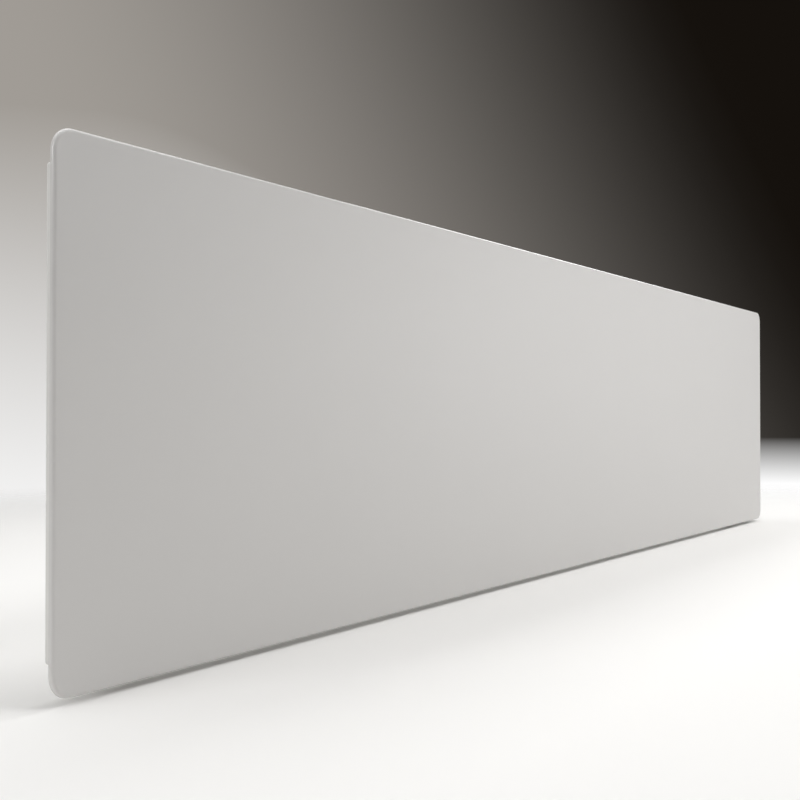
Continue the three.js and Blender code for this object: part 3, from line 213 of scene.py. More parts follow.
def upright_rings(node, corner_radius, profile, steps):
    """Rings round a node as it is seen from the front, one for each (inset, depth) pair."""
    low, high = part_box(node)
    return [
        [Vector((point.x, depth, point.y)) for point in
         rounded_ring(high.x - low.x, high.z - low.z, corner_radius, inset, steps)]
        for inset, depth in profile
    ]


def turned_ring(height, radius, steps):
    """Points round the Z axis, from millimetres; the radius may be a function of the angle."""
    ring = []
    for step in range(steps):
        angle = 2 * math.pi * step / steps
        reach = (radius(angle) if callable(radius) else radius) * MM
        ring.append(Vector((reach * math.cos(angle), reach * math.sin(angle), height * MM)))
    return ring


def turned(sections, steps, loop=False):
    """A turned form from (height, radius) sections in millimetres."""
    least = 0.001  # so that a point on the axis stays a tiny ring
    return skin([
        turned_ring(height, radius if callable(radius) else max(radius, least), steps)
        for height, radius in sections
    ], loop)


def across_flats(flats, corner_radius):
    """The radius of a hexagon bar whose corners are turned down to a circle."""
    def reach(angle):
        within = (angle + math.pi / 6) % (math.pi / 3) - math.pi / 6
        return min(flats / 2 / math.cos(within), corner_radius)
    return reach


def thread(height, root, crest, pitch, steepness):
    """The radius of a thread at a height, as a function of the angle."""
    def reach(angle):
        phase = (height / pitch - angle / (2 * math.pi)) % 1
        return root + (crest - root) * min(1, steepness * (1 - abs(2 * phase - 1)))
    return reach


def stand(node, facing):
    """Where a piece starts in its node's box, and its length from there in millimetres."""
    low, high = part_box(node)
    axis = "XYZ".index(facing)
    start = (low + high) / 2
    start[axis] = low[axis]
    return start, (high[axis] - low[axis]) / MM


def as_mesh(name, form):
    """The form as a mesh, which uses it up."""
    mesh = bpy.data.meshes.new(name)
    form.to_mesh(mesh)
    form.free()
    return mesh


def place_in_scene(name, data):
    """A new object of the scene that shows a mesh, a lamp or the camera."""
    made = bpy.data.objects.new(name, data)
    bpy.context.scene.collection.objects.link(made)
    return made


def set_down(form, name, body, *materials, at, replaced, facing="Z", smooth=35):
    """Makes a piece of the form, its Z axis turned to face Z or Y (backwards), on a body."""
    if facing == "Y":
        form.transform(Matrix.Rotation(math.radians(-90), 4, "X"))
    form.transform(Matrix.Translation(Vector(at)))
    mesh = as_mesh(name, form)
    mesh.polygons.foreach_set("use_smooth", [True] * len(mesh.polygons))
    mesh.set_sharp_from_angle(angle=math.radians(smooth))
    for material in materials:
        mesh.materials.append(material)
    piece = place_in_scene(name, mesh)
    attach(piece, body)
    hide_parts(*replaced)


def carve(form, cutters):
    """The form with the cutters taken out of it."""
    body, *tools = [place_in_scene("blank", as_mesh("blank", each)) for each in (form, *cutters)]
    for tool in tools:
        modifier = body.modifiers.new("cut", "BOOLEAN")
        modifier.operation = "DIFFERENCE"
        modifier.object = tool
    graph = bpy.context.evaluated_depsgraph_get()
    result = bmesh.new()
    result.from_mesh(body.evaluated_get(graph).to_mesh())
    for blank in [body, *tools]:
        mesh = blank.data
        bpy.data.objects.remove(blank)
        bpy.data.meshes.remove(mesh)
    return result


def dress(material, *nodes, edge_break=0):
    """Gives nodes that keep their shape a material and, where asked, broken edges."""
    for name in nodes:
        node = frame["nodes"][name]
        node.data.materials.clear()
        node.data.materials.append(material)
        if edge_break:
            modifier = node.modifiers.new("edge break", "BEVEL")
            modifier.width = edge_break
            modifier.segments = 2
            modifier.limit_method = "ANGLE"
            modifier.angle_limit = math.radians(50)  # leaves the bends alone


# ---------------------------------------------------------------- materials


def per_metre(millimetres):
    """The texture scale at which one feature is as wide as given."""
    return 1 / (millimetres * MM)


def add_node(tree, kind, sockets=(), **settings):
    """Adds a node with its settings; each socket gets a value or another node's output."""
    made = tree.nodes.new("ShaderNode" + kind)
    for name, value in settings.items():
        setattr(made, name, value)
    for name, value in dict(sockets).items():
        if isinstance(value, bpy.types.NodeSocket):
            tree.links.new(value, made.inputs[name])
        else:
            made.inputs[name].default_value = value
    return made


def start_material(name, sockets):
    """A material's tree with its shader and the piece's own coordinates in metres."""
    made = bpy.data.materials.new(name)
    made.use_nodes = True
    tree = made.node_tree
    tree.nodes.clear()
    shader = add_node(tree, "BsdfPrincipled", sockets)
    add_node(tree, "OutputMaterial", {"Surface": shader.outputs["BSDF"]})
    place = add_node(tree, "TexCoord").outputs["Object"]
    return made, tree, shader, place


def shade(base, factor=1):
    """A colour made lighter or darker, as a node takes it."""
    return [min(1, part * factor) for part in base] + [1]


def vary(tree, shader, place, base, width, shades, roughness, detail=2, distortion=0):
    """Lets clouds of a width in mm carry the colour and the roughness between two values."""
    clouds = add_node(tree, "TexNoise", {
        "Vector": place, "Scale": per_metre(width), "Detail": detail, "Distortion": distortion,
    }).outputs[0]
    darker, lighter = (shade(base, factor) for factor in shades)
    tint = add_node(tree, "Mix", {0: clouds, 6: darker, 7: lighter}, data_type="RGBA")
    tree.links.new(tint.outputs[2], shader.inputs["Base Color"])
    smoother, rougher = roughness
    rough = add_node(tree, "MapRange", {"Value": clouds, "To Min": smoother, "To Max": rougher})
    tree.links.new(rough.outputs[0], shader.inputs["Roughness"])
    return clouds


def emboss(tree, shader, height, depth):
    """Lets a pattern stand up from the surface by a depth in mm."""
    relief = add_node(tree, "Bump", {"Height": height, "Distance": depth * MM, "Strength": 1})
    tree.links.new(relief.outputs[0], shader.inputs["Normal"])


def etched_glass(base):
    """Low-iron float glass, acid-etched in front over fired enamel."""
    # Gives an even milky face with a broad soft sheen that brightens at a grazing view.
    made, tree, shader, place = start_material("acid_etched_glass", {"IOR": 1.52})
    # The enamel behind varies a little in depth over a hand's breadth.
    vary(tree, shader, place, base, 180, (0.985, 1.015), (0.38, 0.44), detail=3)
    # Etch pits are about 0.05 mm wide, drawn at 0.5 mm so that they show at all.
    pits = add_node(tree, "TexNoise", {"Vector": place, "Scale": per_metre(0.5), "Detail": 2})
    emboss(tree, shader, pits.outputs[0], depth=0.004)
    return made


def polished_edge(base):
    """The same glass where its edge was ground round and polished."""
    # Gives a smooth rim that catches the lamps as a thin bright line.
    made, tree, shader, place = start_material("polished_glass_edge", {"IOR": 1.52})
    # The polishing belt leaves waves about 6 mm long.
    waves = vary(tree, shader, place, base, 6, (0.99, 1.01), (0.1, 0.16))
    emboss(tree, shader, waves, depth=0.01)
    return made


def fired_enamel(base):
    """Screen-printed ceramic enamel, fired on the back of the glass."""
    # Gives a smooth pale back with the faint ripple of the printing screen.
    made, tree, shader, place = start_material(
        "fired_enamel", {"IOR": 1.5, "Coat Weight": 0.2, "Coat Roughness": 0.2},
    )
    # Screen threads lie 0.13 mm apart, drawn at 1.2 mm so that the ripple shows.
    ripple = vary(tree, shader, place, base, 1.2, (0.98, 1.01), (0.3, 0.38), detail=1)
    emboss(tree, shader, ripple, depth=0.01)
    return made


def cured_silicone(base):
    """Silicone adhesive, pressed out and cured."""
    # Gives a soft bead with a dull shine, faintly wavy every 14 mm or so.
    made, tree, shader, place = start_material(
        "cured_silicone", {"IOR": 1.41, "Subsurface Weight": 0.1, "Subsurface Scale": 2 * MM},
    )
    wave = vary(tree, shader, place, base, 14, (0.95, 1.03), (0.35, 0.5))
    emboss(tree, shader, wave, depth=0.15)
    return made


def powder_coat(base, ripple_width):
    """Polyester powder, sprayed and baked on sheet steel."""
    # Gives a warm white with a fine orange peel that breaks up its highlights.
    made, tree, shader, place = start_material("powder_coated_steel", {"IOR": 1.5})
    # The spray lies a little thicker or thinner over a hand's breadth.
    vary(tree, shader, place, base, 220, (0.985, 1.01), (0.4, 0.48), detail=3)
    peel = add_node(tree, "TexNoise", {"Vector": place, "Scale": 1 / ripple_width, "Detail": 1.5})
    emboss(tree, shader, peel.outputs[0], depth=0.05)
    return made


def zinc_plate(base):
    """Bright zinc, plated on folded steel and passivated."""
    # Gives a cool grey metal, faintly clouded, with rolling lines that run along the sheet.
    made, tree, shader, place = start_material("zinc_plated_steel", {"Metallic": 1})
    vary(tree, shader, place, base, 9, (0.86, 1.04), (0.28, 0.46), detail=4)
    # Rolling lines are under 0.1 mm apart, drawn at 0.5 mm so that they show.
    along = add_node(tree, "Mapping", {"Vector": place, "Scale": (0.06, 1, 1)}).outputs[0]
    lines = add_node(tree, "TexNoise", {"Vector": along, "Scale": per_metre(0.5), "Detail": 2})
    emboss(tree, shader, lines.outputs[0], depth=0.006)
    return made


def drawn_stainless(base):
    """Austenitic stainless steel, cold-headed."""
    # Gives a bright, slightly warm metal with faint die marks.
    made, tree, shader, place = start_material("cold_headed_stainless", {"Metallic": 1})
    # Die marks are about 0.1 mm wide, drawn at 0.7 mm so that they show.
    marks = vary(tree, shader, place, base, 0.7, (0.9, 1.03), (0.2, 0.34), detail=3)
    emboss(tree, shader, marks, depth=0.006)
    return made


def moulded(name, base, scatter=0.0, texture=0.3, roughness=(0.45, 0.55)):
    """Injection-moulded nylon, phenolic or rubber from a spark-eroded mould."""
    # Gives an even colour with a fine leathery grain and a dull sheen.
    made, tree, shader, place = start_material(
        name, {"IOR": 1.53, "Subsurface Weight": scatter, "Subsurface Scale": MM},
    )
    # The melt's flow shows as faint clouds about 12 mm wide.
    vary(tree, shader, place, base, 12, (0.94, 1.05), roughness)
    # Spark erosion leaves pits of about 0.1 mm, drawn coarser so that they show.
    pits = add_node(tree, "TexVoronoi", {"Vector": place, "Scale": per_metre(texture)})
    emboss(tree, shader, pits.outputs[0], depth=0.015)
    return made


def polyimide_film(base):
    """Polyimide film, cast and laminated over the foil."""
    # Gives a glassy amber sheet with waves about 60 mm long.
    made, tree, shader, place = start_material(
        "polyimide_film", {"IOR": 1.7, "Coat Weight": 0.5, "Coat Roughness": 0.1},
    )
    wave = vary(tree, shader, place, base, 60, (0.9, 1.08), (0.2, 0.3))
    emboss(tree, shader, wave, depth=0.1)
    return made


def rolled_metal(name, base, line_width, roughness):
    """Thin metal rolled to foil or sheet: resistance alloy, aluminium or brass."""
    # Gives a bright sheet with rolling lines along its length.
    made, tree, shader, place = start_material(name, {"Metallic": 1})
    # The lines are under 0.1 mm apart, drawn coarser so that they show.
    along = add_node(tree, "Mapping", {"Vector": place, "Scale": (0.04, 1, 1)}).outputs[0]
    lines = vary(tree, shader, along, base, line_width, (0.92, 1.05), roughness, detail=3)
    emboss(tree, shader, lines, depth=0.005)
    return made


def mineral_wool(base):
    """Resin-bonded mineral wool, pressed to a board."""
    # Gives a matt yellow-grey felt of crossed fibres.
    made, tree, shader, place = start_material("pressed_mineral_wool", {"IOR": 1.45})
    # Fibres are a few hundredths of a millimetre thick, drawn at 0.9 mm as bundles.
    flat = add_node(tree, "Mapping", {"Vector": place, "Scale": (0.2, 1, 1)}).outputs[0]
    fibres = vary(
        tree, shader, flat, base, 0.9, (0.75, 1.12), (0.9, 0.98), detail=6, distortion=1.2,
    )
    emboss(tree, shader, fibres, depth=0.4)
    return made


def lead_sleeve(name, base):
    """Silicone insulation, extruded over stranded copper."""
    # Gives a smooth rubbery lead with a soft shine, its strands just felt every 5 mm.
    made, tree, shader, place = start_material(name, {"IOR": 1.41})
    wave = vary(tree, shader, place, base, 5, (0.93, 1.06), (0.4, 0.5), detail=1)
    emboss(tree, shader, wave, depth=0.03)
    return made


def striped_sleeve(green, yellow):
    """The earth lead's insulation, extruded in two colours."""
    # Gives green with bands of yellow a few millimetres wide.
    made, tree, shader, place = start_material(
        "green_yellow_sleeve", {"IOR": 1.41, "Roughness": 0.45},
    )
    bands = add_node(tree, "TexWave", {"Vector": place, "Scale": per_metre(40)},
                     bands_direction="DIAGONAL").outputs[1]
    edge = add_node(tree, "MapRange", {"Value": bands, "From Min": 0.55, "From Max": 0.6})
    tint = add_node(tree, "Mix", {0: edge.outputs[0], 6: shade(green), 7: shade(yellow)},
                    data_type="RGBA")
    tree.links.new(tint.outputs[2], shader.inputs["Base Color"])
    emboss(tree, shader, bands, depth=0.01)
    return made


# ---------------------------------------------------------------- operators
# The profiles of turned pieces are (height, radius) pairs in millimetres, from the front or from
# below; the small steps in them are roundings and chamfers.


class MakePlate(bpy.types.Operator):
    """Glass front plate with its ground and polished edge, and the bead that bonds it"""

    bl_idname = "panel_heater.plate"
    bl_label = "Glass Plate"

    def execute(self, context):
        look = context.scene.panel_heater_plate
        start, thickness = stand("front_plate", "Y")
        thickness *= MM
        border = 1 * MM  # of the flat faces, next to the edge
        edge_steps, corner_steps = 8, 18
        profile = [(look.edge_radius + border, 0)]
        for step in range(edge_steps + 1):
            angle = math.radians(90 * step / edge_steps)
            profile.append((
                look.edge_radius * (1 - math.sin(angle)), look.edge_radius * (1 - math.cos(angle)),
            ))
        profile += [
            (0, thickness - look.arris), (look.arris, thickness), (look.arris + border, thickness),
        ]
        form = skin(upright_rings("front_plate", look.corner_radius, profile, corner_steps))
        # The etching ends a little way round the edge, and the enamel at the arris.
        polish_from, enamel_from = look.edge_radius * 0.2, thickness - look.arris / 2
        for face in form.faces:
            depth = face.calc_center_median().y
            if depth > enamel_from:
                face.material_index = 2
            elif depth > polish_from:
                face.material_index = 1
        set_down(
            form, "glass_plate", PANEL,
            etched_glass(look.glass_colour), polished_edge(look.polish_colour),
            fired_enamel(look.enamel_colour), at=start, smooth=40, replaced=["front_plate"],
        )
        self.make_bead(look)
        return {"FINISHED"}

    def make_bead(self, look):
        """The bead is squeezed out a little at its middle."""
        start, depth = stand("bond_frame", "Y")
        depth *= MM
        squeeze, shoulder, bead_width, corner = 0.5 * MM, 0.15 * MM, 9 * MM, 10 * MM
        section = [
            (squeeze, 0), (shoulder, depth / 4), (0, depth / 2), (shoulder, depth * 3 / 4),
            (squeeze, depth), (bead_width, depth), (bead_width, 0),
        ]
        set_down(
            skin(upright_rings("bond_frame", corner, section, 6), loop=True), "silicone_bead",
            PANEL, cured_silicone(look.silicone_colour), at=start, replaced=["bond_frame"],
        )


class FinishHousing(bpy.types.Operator):
    """Powder coat on the housing and the terminal cover"""

    bl_idname = "panel_heater.housing"
    bl_label = "Housing"

    def execute(self, context):
        look = context.scene.panel_heater_steel
        coat = powder_coat(look.powder_colour, look.orange_peel)
        dress(coat, "rear_housing")
        dress(coat, "terminal_cover", edge_break=look.edge_break)
        return {"FINISHED"}


class FinishRail(bpy.types.Operator):
    """Powder coat and broken edges on the wall rail"""

    bl_idname = "panel_heater.rail"
    bl_label = "Wall Rail"

    def execute(self, context):
        look = context.scene.panel_heater_steel
        coat = powder_coat(look.powder_colour, look.orange_peel)
        dress(coat, "wall_rail", edge_break=look.edge_break)
        return {"FINISHED"}


class FinishHooks(bpy.types.Operator):
    """Zinc on the hooks, their backing plates and the terminal bracket"""

    bl_idname = "panel_heater.hooks"
    bl_label = "Hooks"

    def execute(self, context):
        look = context.scene.panel_heater_steel
        dress(
            zinc_plate(look.zinc_colour),
            "hook_left", "hook_right", "backing_plate_left", "backing_plate_right",
            "terminal_bracket", edge_break=look.edge_break,
        )
        return {"FINISHED"}


class MakeRivets(bpy.types.Operator):
    """Set blind rivets with the stub of their mandrel in the head"""

    bl_idname = "panel_heater.rivets"
    bl_label = "Rivets"

    def execute(self, context):
        steel = drawn_stainless(context.scene.panel_heater_steel.stainless_colour)
        for index in range(1, 9):
            self.make_rivet(f"hook_rivet_{index}", f"set_rivet_{index}", steel, "Y")
        self.make_rivet("bracket_rivet", "set_bracket_rivet", steel, "Z")
        return {"FINISHED"}

    def make_rivet(self, node, name, steel, facing):
        """Bulged blind end, shank, domed head, and the broken mandrel in the head."""
        start, total = stand(node, facing)
        shank, bulge, head, mandrel = 2, 2.9, 3.9, 1
        flange = total - 1.2
        form = turned([
            (0, 0), (0, shank), (0.5, 2.6), (1.2, bulge), (2, 2.5), (2, shank), (flange, shank),
            (flange, head - 0.1), (flange + 0.1, head), (flange + 0.35, head),
            (total - 0.5, head * 0.86), (total - 0.2, head * 0.66), (total - 0.02, head * 0.45),
            (total, head * 0.36), (total - 0.1, mandrel + 0.1), (total - 0.8, mandrel),
            (total - 0.8, mandrel * 0.8), (total - 0.45, mandrel * 0.7), (total - 0.4, 0),
        ], 36)
        if facing == "Z":  # its head looks down, out of the housing
            form.transform(Matrix.Rotation(math.pi, 4, "X"))
            form.transform(Matrix.Translation((0, 0, total * MM)))
        set_down(form, name, PANEL, steel, at=start, facing=facing, replaced=[node])


class MakeCoverScrews(bpy.types.Operator):
    """Pan-head screws with a cross recess in the terminal cover"""

    bl_idname = "panel_heater.cover_screws"
    bl_label = "Cover Screws"

    def execute(self, context):
        steel = drawn_stainless(context.scene.panel_heater_steel.stainless_colour)
        head, root, crest, pitch = 1.7, 1.15, 1.45, 0.8
        thread_from, thread_short, rise = 1.4, 1.6, 0.2
        for index in range(1, 5):
            node = f"cover_screw_{index}"
            start, total = stand(node, "Y")
            under = total - head
            sections = [(0, 0), (0, 0.6), (1.2, 1.2)]
            for step in range(int((under - thread_short) / rise)):
                height = thread_from + step * rise
                sections.append((height, thread(height, root, crest, pitch, steepness=1)))
            sections += [
                (under - 0.05, 1.25), (under, 1.3), (under, 2.9), (under + 0.15, 3),
                (under + 0.8, 2.92), (under + 1.3, 2.5), (under + 1.6, 1.8), (total, 1), (total, 0),
            ]
            form = carve(turned(sections, 36), [self.blade(total, 45), self.blade(total, 135)])
            set_down(
                form, f"pan_screw_{index}", PANEL, steel, at=start, facing="Y", smooth=30,
                replaced=[node],
            )
        return {"FINISHED"}

    @staticmethod
    def blade(top, turn):
        """One wing of the driver's recess, narrowing downwards."""
        form = skin([
            [Vector((x * long * MM, y * wide * MM, height * MM))
             for x, y in ((1, 1), (-1, 1), (-1, -1), (1, -1))]
            for height, long, wide in ((top - 1.1, 0.8, 0.3), (top + 0.4, 1.75, 0.42))
        ])
        form.transform(Matrix.Rotation(math.radians(turn), 4, "Z"))
        return form


class MakeSpacers(bpy.types.Operator):
    """Ribbed nylon spacers with rubber pads against the wall"""

    bl_idname = "panel_heater.spacers"
    bl_label = "Wall Spacers"

    def execute(self, context):
        look = context.scene.panel_heater_plastic
        nylon = moulded("moulded_white_nylon", look.white_colour, scatter=0.08)
        rubber = moulded(
            "moulded_wall_pad_rubber", look.rubber_colour, texture=0.5, roughness=(0.7, 0.85),
        )
        for side in ("left", "right"):
            self.make_spacer(side, nylon)
            self.make_pad(side, rubber)
        return {"FINISHED"}

    def make_spacer(self, side, nylon):
        """A stud that snaps into the housing, and a ribbed foot with a well for the pad."""
        def ribbed(radius, rib_count=24, rib_depth=0.025):
            return lambda angle: radius * (
                1 - rib_depth * (0.5 + 0.5 * math.cos(rib_count * angle)) ** 3
            )
        start, total = stand(f"spacer_{side}", "Y")
        neck, barb, foot_radius, well = 4, 4.9, 14, 10.3
        foot = total - 16.2
        sections = [
            (0, 0), (0, 3), (1.9, 4.7), (2.3, barb), (3, barb), (3, neck), (foot, neck),
            (foot, foot_radius - 0.4), (foot + 0.4, foot_radius), (foot + 1.6, foot_radius),
            (foot + 2.2, ribbed(13.7)), (total - 2.2, ribbed(12.4)), (total - 1.4, 12.2),
            (total - 0.5, 12), (total, 11.5), (total, 10.5), (total - 0.2, well),
            (total - 1.4, well), (total - 1.4, 0),
        ]
        set_down(
            turned(sections, 144), f"nylon_spacer_{side}", PANEL, nylon, at=start, facing="Y",
            replaced=[f"spacer_{side}"],
        )

    def make_pad(self, side, rubber):
        """A pad with its edge rounded and two rings moulded in its face."""
        start, total = stand(f"spacer_pad_{side}", "Y")
        sections = [
            (0, 0), (0, 9.7), (0.3, 10), (total - 0.6, 10), (total - 0.17, 9.83), (total, 9.4),
        ]
        for groove in (7.5, 4.5):
            sections += [
                (total, groove + 0.5), (total - 0.4, groove + 0.3), (total - 0.4, groove - 0.3),
                (total, groove - 0.5),
            ]
        sections.append((total, 0))
        set_down(
            turned(sections, 48), f"rubber_pad_{side}", PANEL, rubber, at=start, facing="Y",
            replaced=[f"spacer_pad_{side}"],
        )


# The gland's bore, its hexagon, and the hexagon where its corners are turned down at the ends.
BORE, HEXAGON, HEXAGON_END = 4.6, across_flats(18, 10.4), across_flats(18, 9.3)


class MakeGland(bpy.types.Operator):
    """Cable gland: hexagon body with its thread, ribbed cap, locknut and seal"""

    bl_idname = "panel_heater.gland"
    bl_label = "Cable Gland"

    def execute(self, context):
        look = context.scene.panel_heater_plastic
        nylon = moulded("moulded_black_nylon", look.black_colour)
        rubber = moulded("moulded_seal_rubber", look.rubber_colour, roughness=(0.65, 0.8))
        self.make_body(nylon)
        self.make_nut(nylon)
        self.make_cap(nylon, look.cap_ribs)
        self.make_seal(rubber)
        return {"FINISHED"}

    @staticmethod
    def make_ring(sections, steps, name, material, node, smooth=35):
        """Sets a ring down in its node's place, its sections joined in a loop."""
        start, _ = stand(node, "Z")
        set_down(
            turned(sections, steps, loop=True), name, PANEL, material, at=start, smooth=smooth,
            replaced=[node],
        )

    def make_body(self, nylon):
        """Spigot below, hexagon flange, and the thread that goes up into the housing."""
        _, total = stand("gland_body", "Z")
        spigot, flange_low, flange_high = 6.4, 3.5, 8.5
        root, crest, pitch, rise = 7.45, 7.95, 1.5, 0.25
        sections = [
            (0, BORE + 0.3), (0, spigot - 0.4), (0.4, spigot), (flange_low, spigot),
            (flange_low, HEXAGON_END), (flange_low + 0.7, HEXAGON), (flange_high - 0.7, HEXAGON),
            (flange_high, HEXAGON_END), (flange_high, 7.4),
        ]
        height = flange_high + 0.3
        while height < total - 0.6:
            sections.append((height, thread(height, root, crest, pitch, steepness=1.4)))
            height += rise
        sections += [
            (total - 0.3, 7.3), (total, 7), (total, BORE + 0.3), (total - 0.3, BORE), (0.3, BORE),
        ]
        self.make_ring(sections, 72, "gland_threaded_body", nylon, "gland_body")

    def make_nut(self, nylon):
        """The locknut inside the housing."""
        _, total = stand("gland_locknut", "Z")
        bore, bore_end = 8.35, 8.8
        sections = [
            (0, bore_end), (0, HEXAGON_END), (0.7, HEXAGON), (total - 0.7, HEXAGON),
            (total, HEXAGON_END), (total, bore_end), (total - 0.4, bore), (0.4, bore),
        ]
        self.make_ring(sections, 72, "gland_nut", nylon, "gland_locknut")

    def make_cap(self, nylon, rib_count):
        """The domed cap below, with ribs that run out into its collar."""
        def ribbed(radius, depth):
            return lambda angle: radius - depth * (0.5 - 0.5 * math.cos(rib_count * angle)) ** 4
        low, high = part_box("gland_cap")
        outside, total = (high.x - low.x) / 2 / MM, (high.z - low.z) / MM
        inside, nose, rib_depth = 6.7, 6.2, 0.5
        dome_from, dome_to, dome_steps = 0.5, total * 0.48, 6
        sections = [
            (0, BORE + 0.3), (0, nose - 0.5), (0.15, nose - 0.15), (dome_from, nose + 0.1),
        ]
        for step in range(1, dome_steps + 1):
            share = step / dome_steps
            radius = nose + (outside - nose) * math.sin(math.pi / 2 * share)
            height = dome_from + (dome_to - dome_from) * share
            sections.append((height, ribbed(radius, rib_depth * share)))
        sections += [
            (total - 1.8, ribbed(outside, rib_depth)), (total - 1.3, outside),
            (total - 0.3, outside), (total, outside - 0.3), (total, inside + 0.3),
            (total - 0.3, inside), (3.2, inside), (2.9, BORE), (0.3, BORE),
        ]
        points_per_rib = 12
        self.make_ring(
            sections, rib_count * points_per_rib, "gland_grip_cap", nylon, "gland_cap", smooth=50,
        )

    def make_seal(self, rubber):
        """The seal that the cap presses round the cord."""
        _, total = stand("gland_seal", "Z")
        bore, outside = 3.7, 6.4
        sections = [
            (0, bore + 0.4), (0, outside - 0.3), (0.3, outside), (total - 0.3, outside),
            (total, outside - 0.3), (total, bore + 0.4), (total - 0.4, bore), (0.4, bore),
        ]
        self.make_ring(sections, 48, "gland_seal_ring", rubber, "gland_seal")


class MakeSwitch(bpy.types.Operator):
    """Rocker switch: bezel with its well, and the rocker with printed marks"""

    bl_idname = "panel_heater.switch"
    bl_label = "Rocker Switch"

    # The two printed marks: how far out, how wide a line, how proud and how deep in the face.
    mark_reach, mark_line, mark_proud, mark_root = 1.7, 0.35, 0.06, 0.4

    def execute(self, context):
        look = context.scene.panel_heater_plastic
        nylon = moulded(
            "moulded_switch_nylon", look.black_colour, texture=0.25, roughness=(0.32, 0.42),
        )
        marks = moulded("printed_white_marks", look.mark_colour, roughness=(0.5, 0.6))
        self.make_bezel(nylon)
        self.make_rocker(nylon, marks)
        return {"FINISHED"}

    def make_bezel(self, nylon):
        """A rounded bezel below the housing, its body above, and the rocker's well in it."""
        low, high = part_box("switch_body")
        start, total = stand("switch_body", "Z")
        wall, lip, well_depth, corner = 0.8, 2, 3, 1.2
        bezel = ((high.x - low.x) / MM, (high.y - low.y) / MM)
        body = (19, 13)
        well = (body[0] - 2 * wall, body[1] - 2 * wall)
        # From the well's floor, round the bezel and up the body: height, outline, how much wider
        # than the outline, and corner radius.
        rings = [
            [Vector((point.x, point.y, height)) * MM for point in
             rounded_ring(outline[0] + wider, outline[1] + wider, radius, 0, 5)]
            for height, outline, wider, radius in (
                (total - well_depth, well, 0, 0.3), (0.5, well, 0, 0.3), (0.1, well, 0.5, 0.5),
                (0, well, 1, 0.7), (0, bezel, -1.6, corner * 0.6), (0.2, bezel, -0.9, corner * 0.8),
                (0.6, bezel, -0.3, corner), (1.2, bezel, 0, corner), (lip, bezel, 0, corner),
                (lip, body, 0, 0.4), (total, body, 0, 0.4),
            )
        ]
        set_down(
            skin(rings), "switch_bezel", PANEL, nylon, at=start, smooth=30,
            replaced=["switch_body"],
        )

    def make_rocker(self, nylon, marks):
        """The rocker in its level position about its pivot, then tilted as it rests."""
        joint = next(joint for joint in frame["joints"] if joint["child"] == ROCKER)
        half, rise, dip, wide, rounding = 7.9 * MM, 5 * MM, 1.7 * MM, 10.7 * MM, 0.35 * MM
        rest_tilt, face_steps, mark_place = 8, 24, 4.6 * MM

        def face_at(x):
            """The height of the hollow face, which looks down."""
            return -rise + dip * (1 - abs(x / half) ** 1.5)

        outline = []
        for step in range(face_steps + 1):
            x = half * (2 * step / face_steps - 1)
            outline.append(Vector((x, face_at(x))))
        # The back, from end to end, as shares of the half length.
        back = ((1, 0), (0.97, 0.18), (0.86, 0.33), (0.66, 0.43), (0.4, 0.45))
        outline += [Vector((x * half, z * half)) for x, z in back]
        outline += [Vector((-x * half, z * half)) for x, z in reversed(back)]
        centre = Vector((0, -rise * 0.4))
        rings = []
        for across, shrink in (
            (-wide / 2, rounding), (-wide / 2 + rounding * 0.3, rounding * 0.3),
            (-wide / 2 + rounding, 0), (wide / 2 - rounding, 0),
            (wide / 2 - rounding * 0.3, rounding * 0.3), (wide / 2, rounding),
        ):
            ring = []
            for point in outline:
                towards = (centre - point).normalized() * shrink
                ring.append(Vector((point.x + towards.x, across, point.y + towards.y)))
            rings.append(ring)
        form = skin(rings)
        unmarked = len(form.faces)
        self.add_ring_mark(form, -mark_place, face_at)
        self.add_bar_mark(form, mark_place, face_at)
        form.faces.ensure_lookup_table()
        for index in range(unmarked, len(form.faces)):
            form.faces[index].material_index = 1
        form.transform(Matrix.Rotation(math.radians(rest_tilt), 4, "Y"))
        set_down(
            form, "switch_rocker_cap", ROCKER, nylon, marks, at=joint["pos_m"], smooth=30,
            replaced=["switch_rocker"],
        )

    @staticmethod
    def append(form, extra):
        """Puts one form into another."""
        mesh = as_mesh("mark", extra)
        form.from_mesh(mesh)
        bpy.data.meshes.remove(mesh)

    def add_ring_mark(self, form, x, face_at):
        """The mark of the off side: a ring that follows the hollow face."""
        outer, inner = self.mark_reach, self.mark_reach - self.mark_line
        rings = []
        for radius, lift in (
            (inner, -self.mark_proud), (outer, -self.mark_proud), (outer, self.mark_root),
            (inner, self.mark_root),
        ):
            ring = turned_ring(lift, radius, 40)
            for point in ring:
                point.x += x
                point.z += face_at(point.x)
            rings.append(ring)
        self.append(form, skin(rings, loop=True))

    def add_bar_mark(self, form, x, face_at):
        """The mark of the on side: a bar."""
        reach, proud, root = (
            part * MM for part in (self.mark_reach, self.mark_proud, self.mark_root)
        )
        rings = [
            [Vector((at, y, face_at(at) + lift)) for y, lift in (
                (-reach, -proud), (reach, -proud), (reach, root), (-reach, root),
            )]
            for at in (x - self.mark_line * MM / 2, x + self.mark_line * MM / 2)
        ]
        self.append(form, skin(rings))


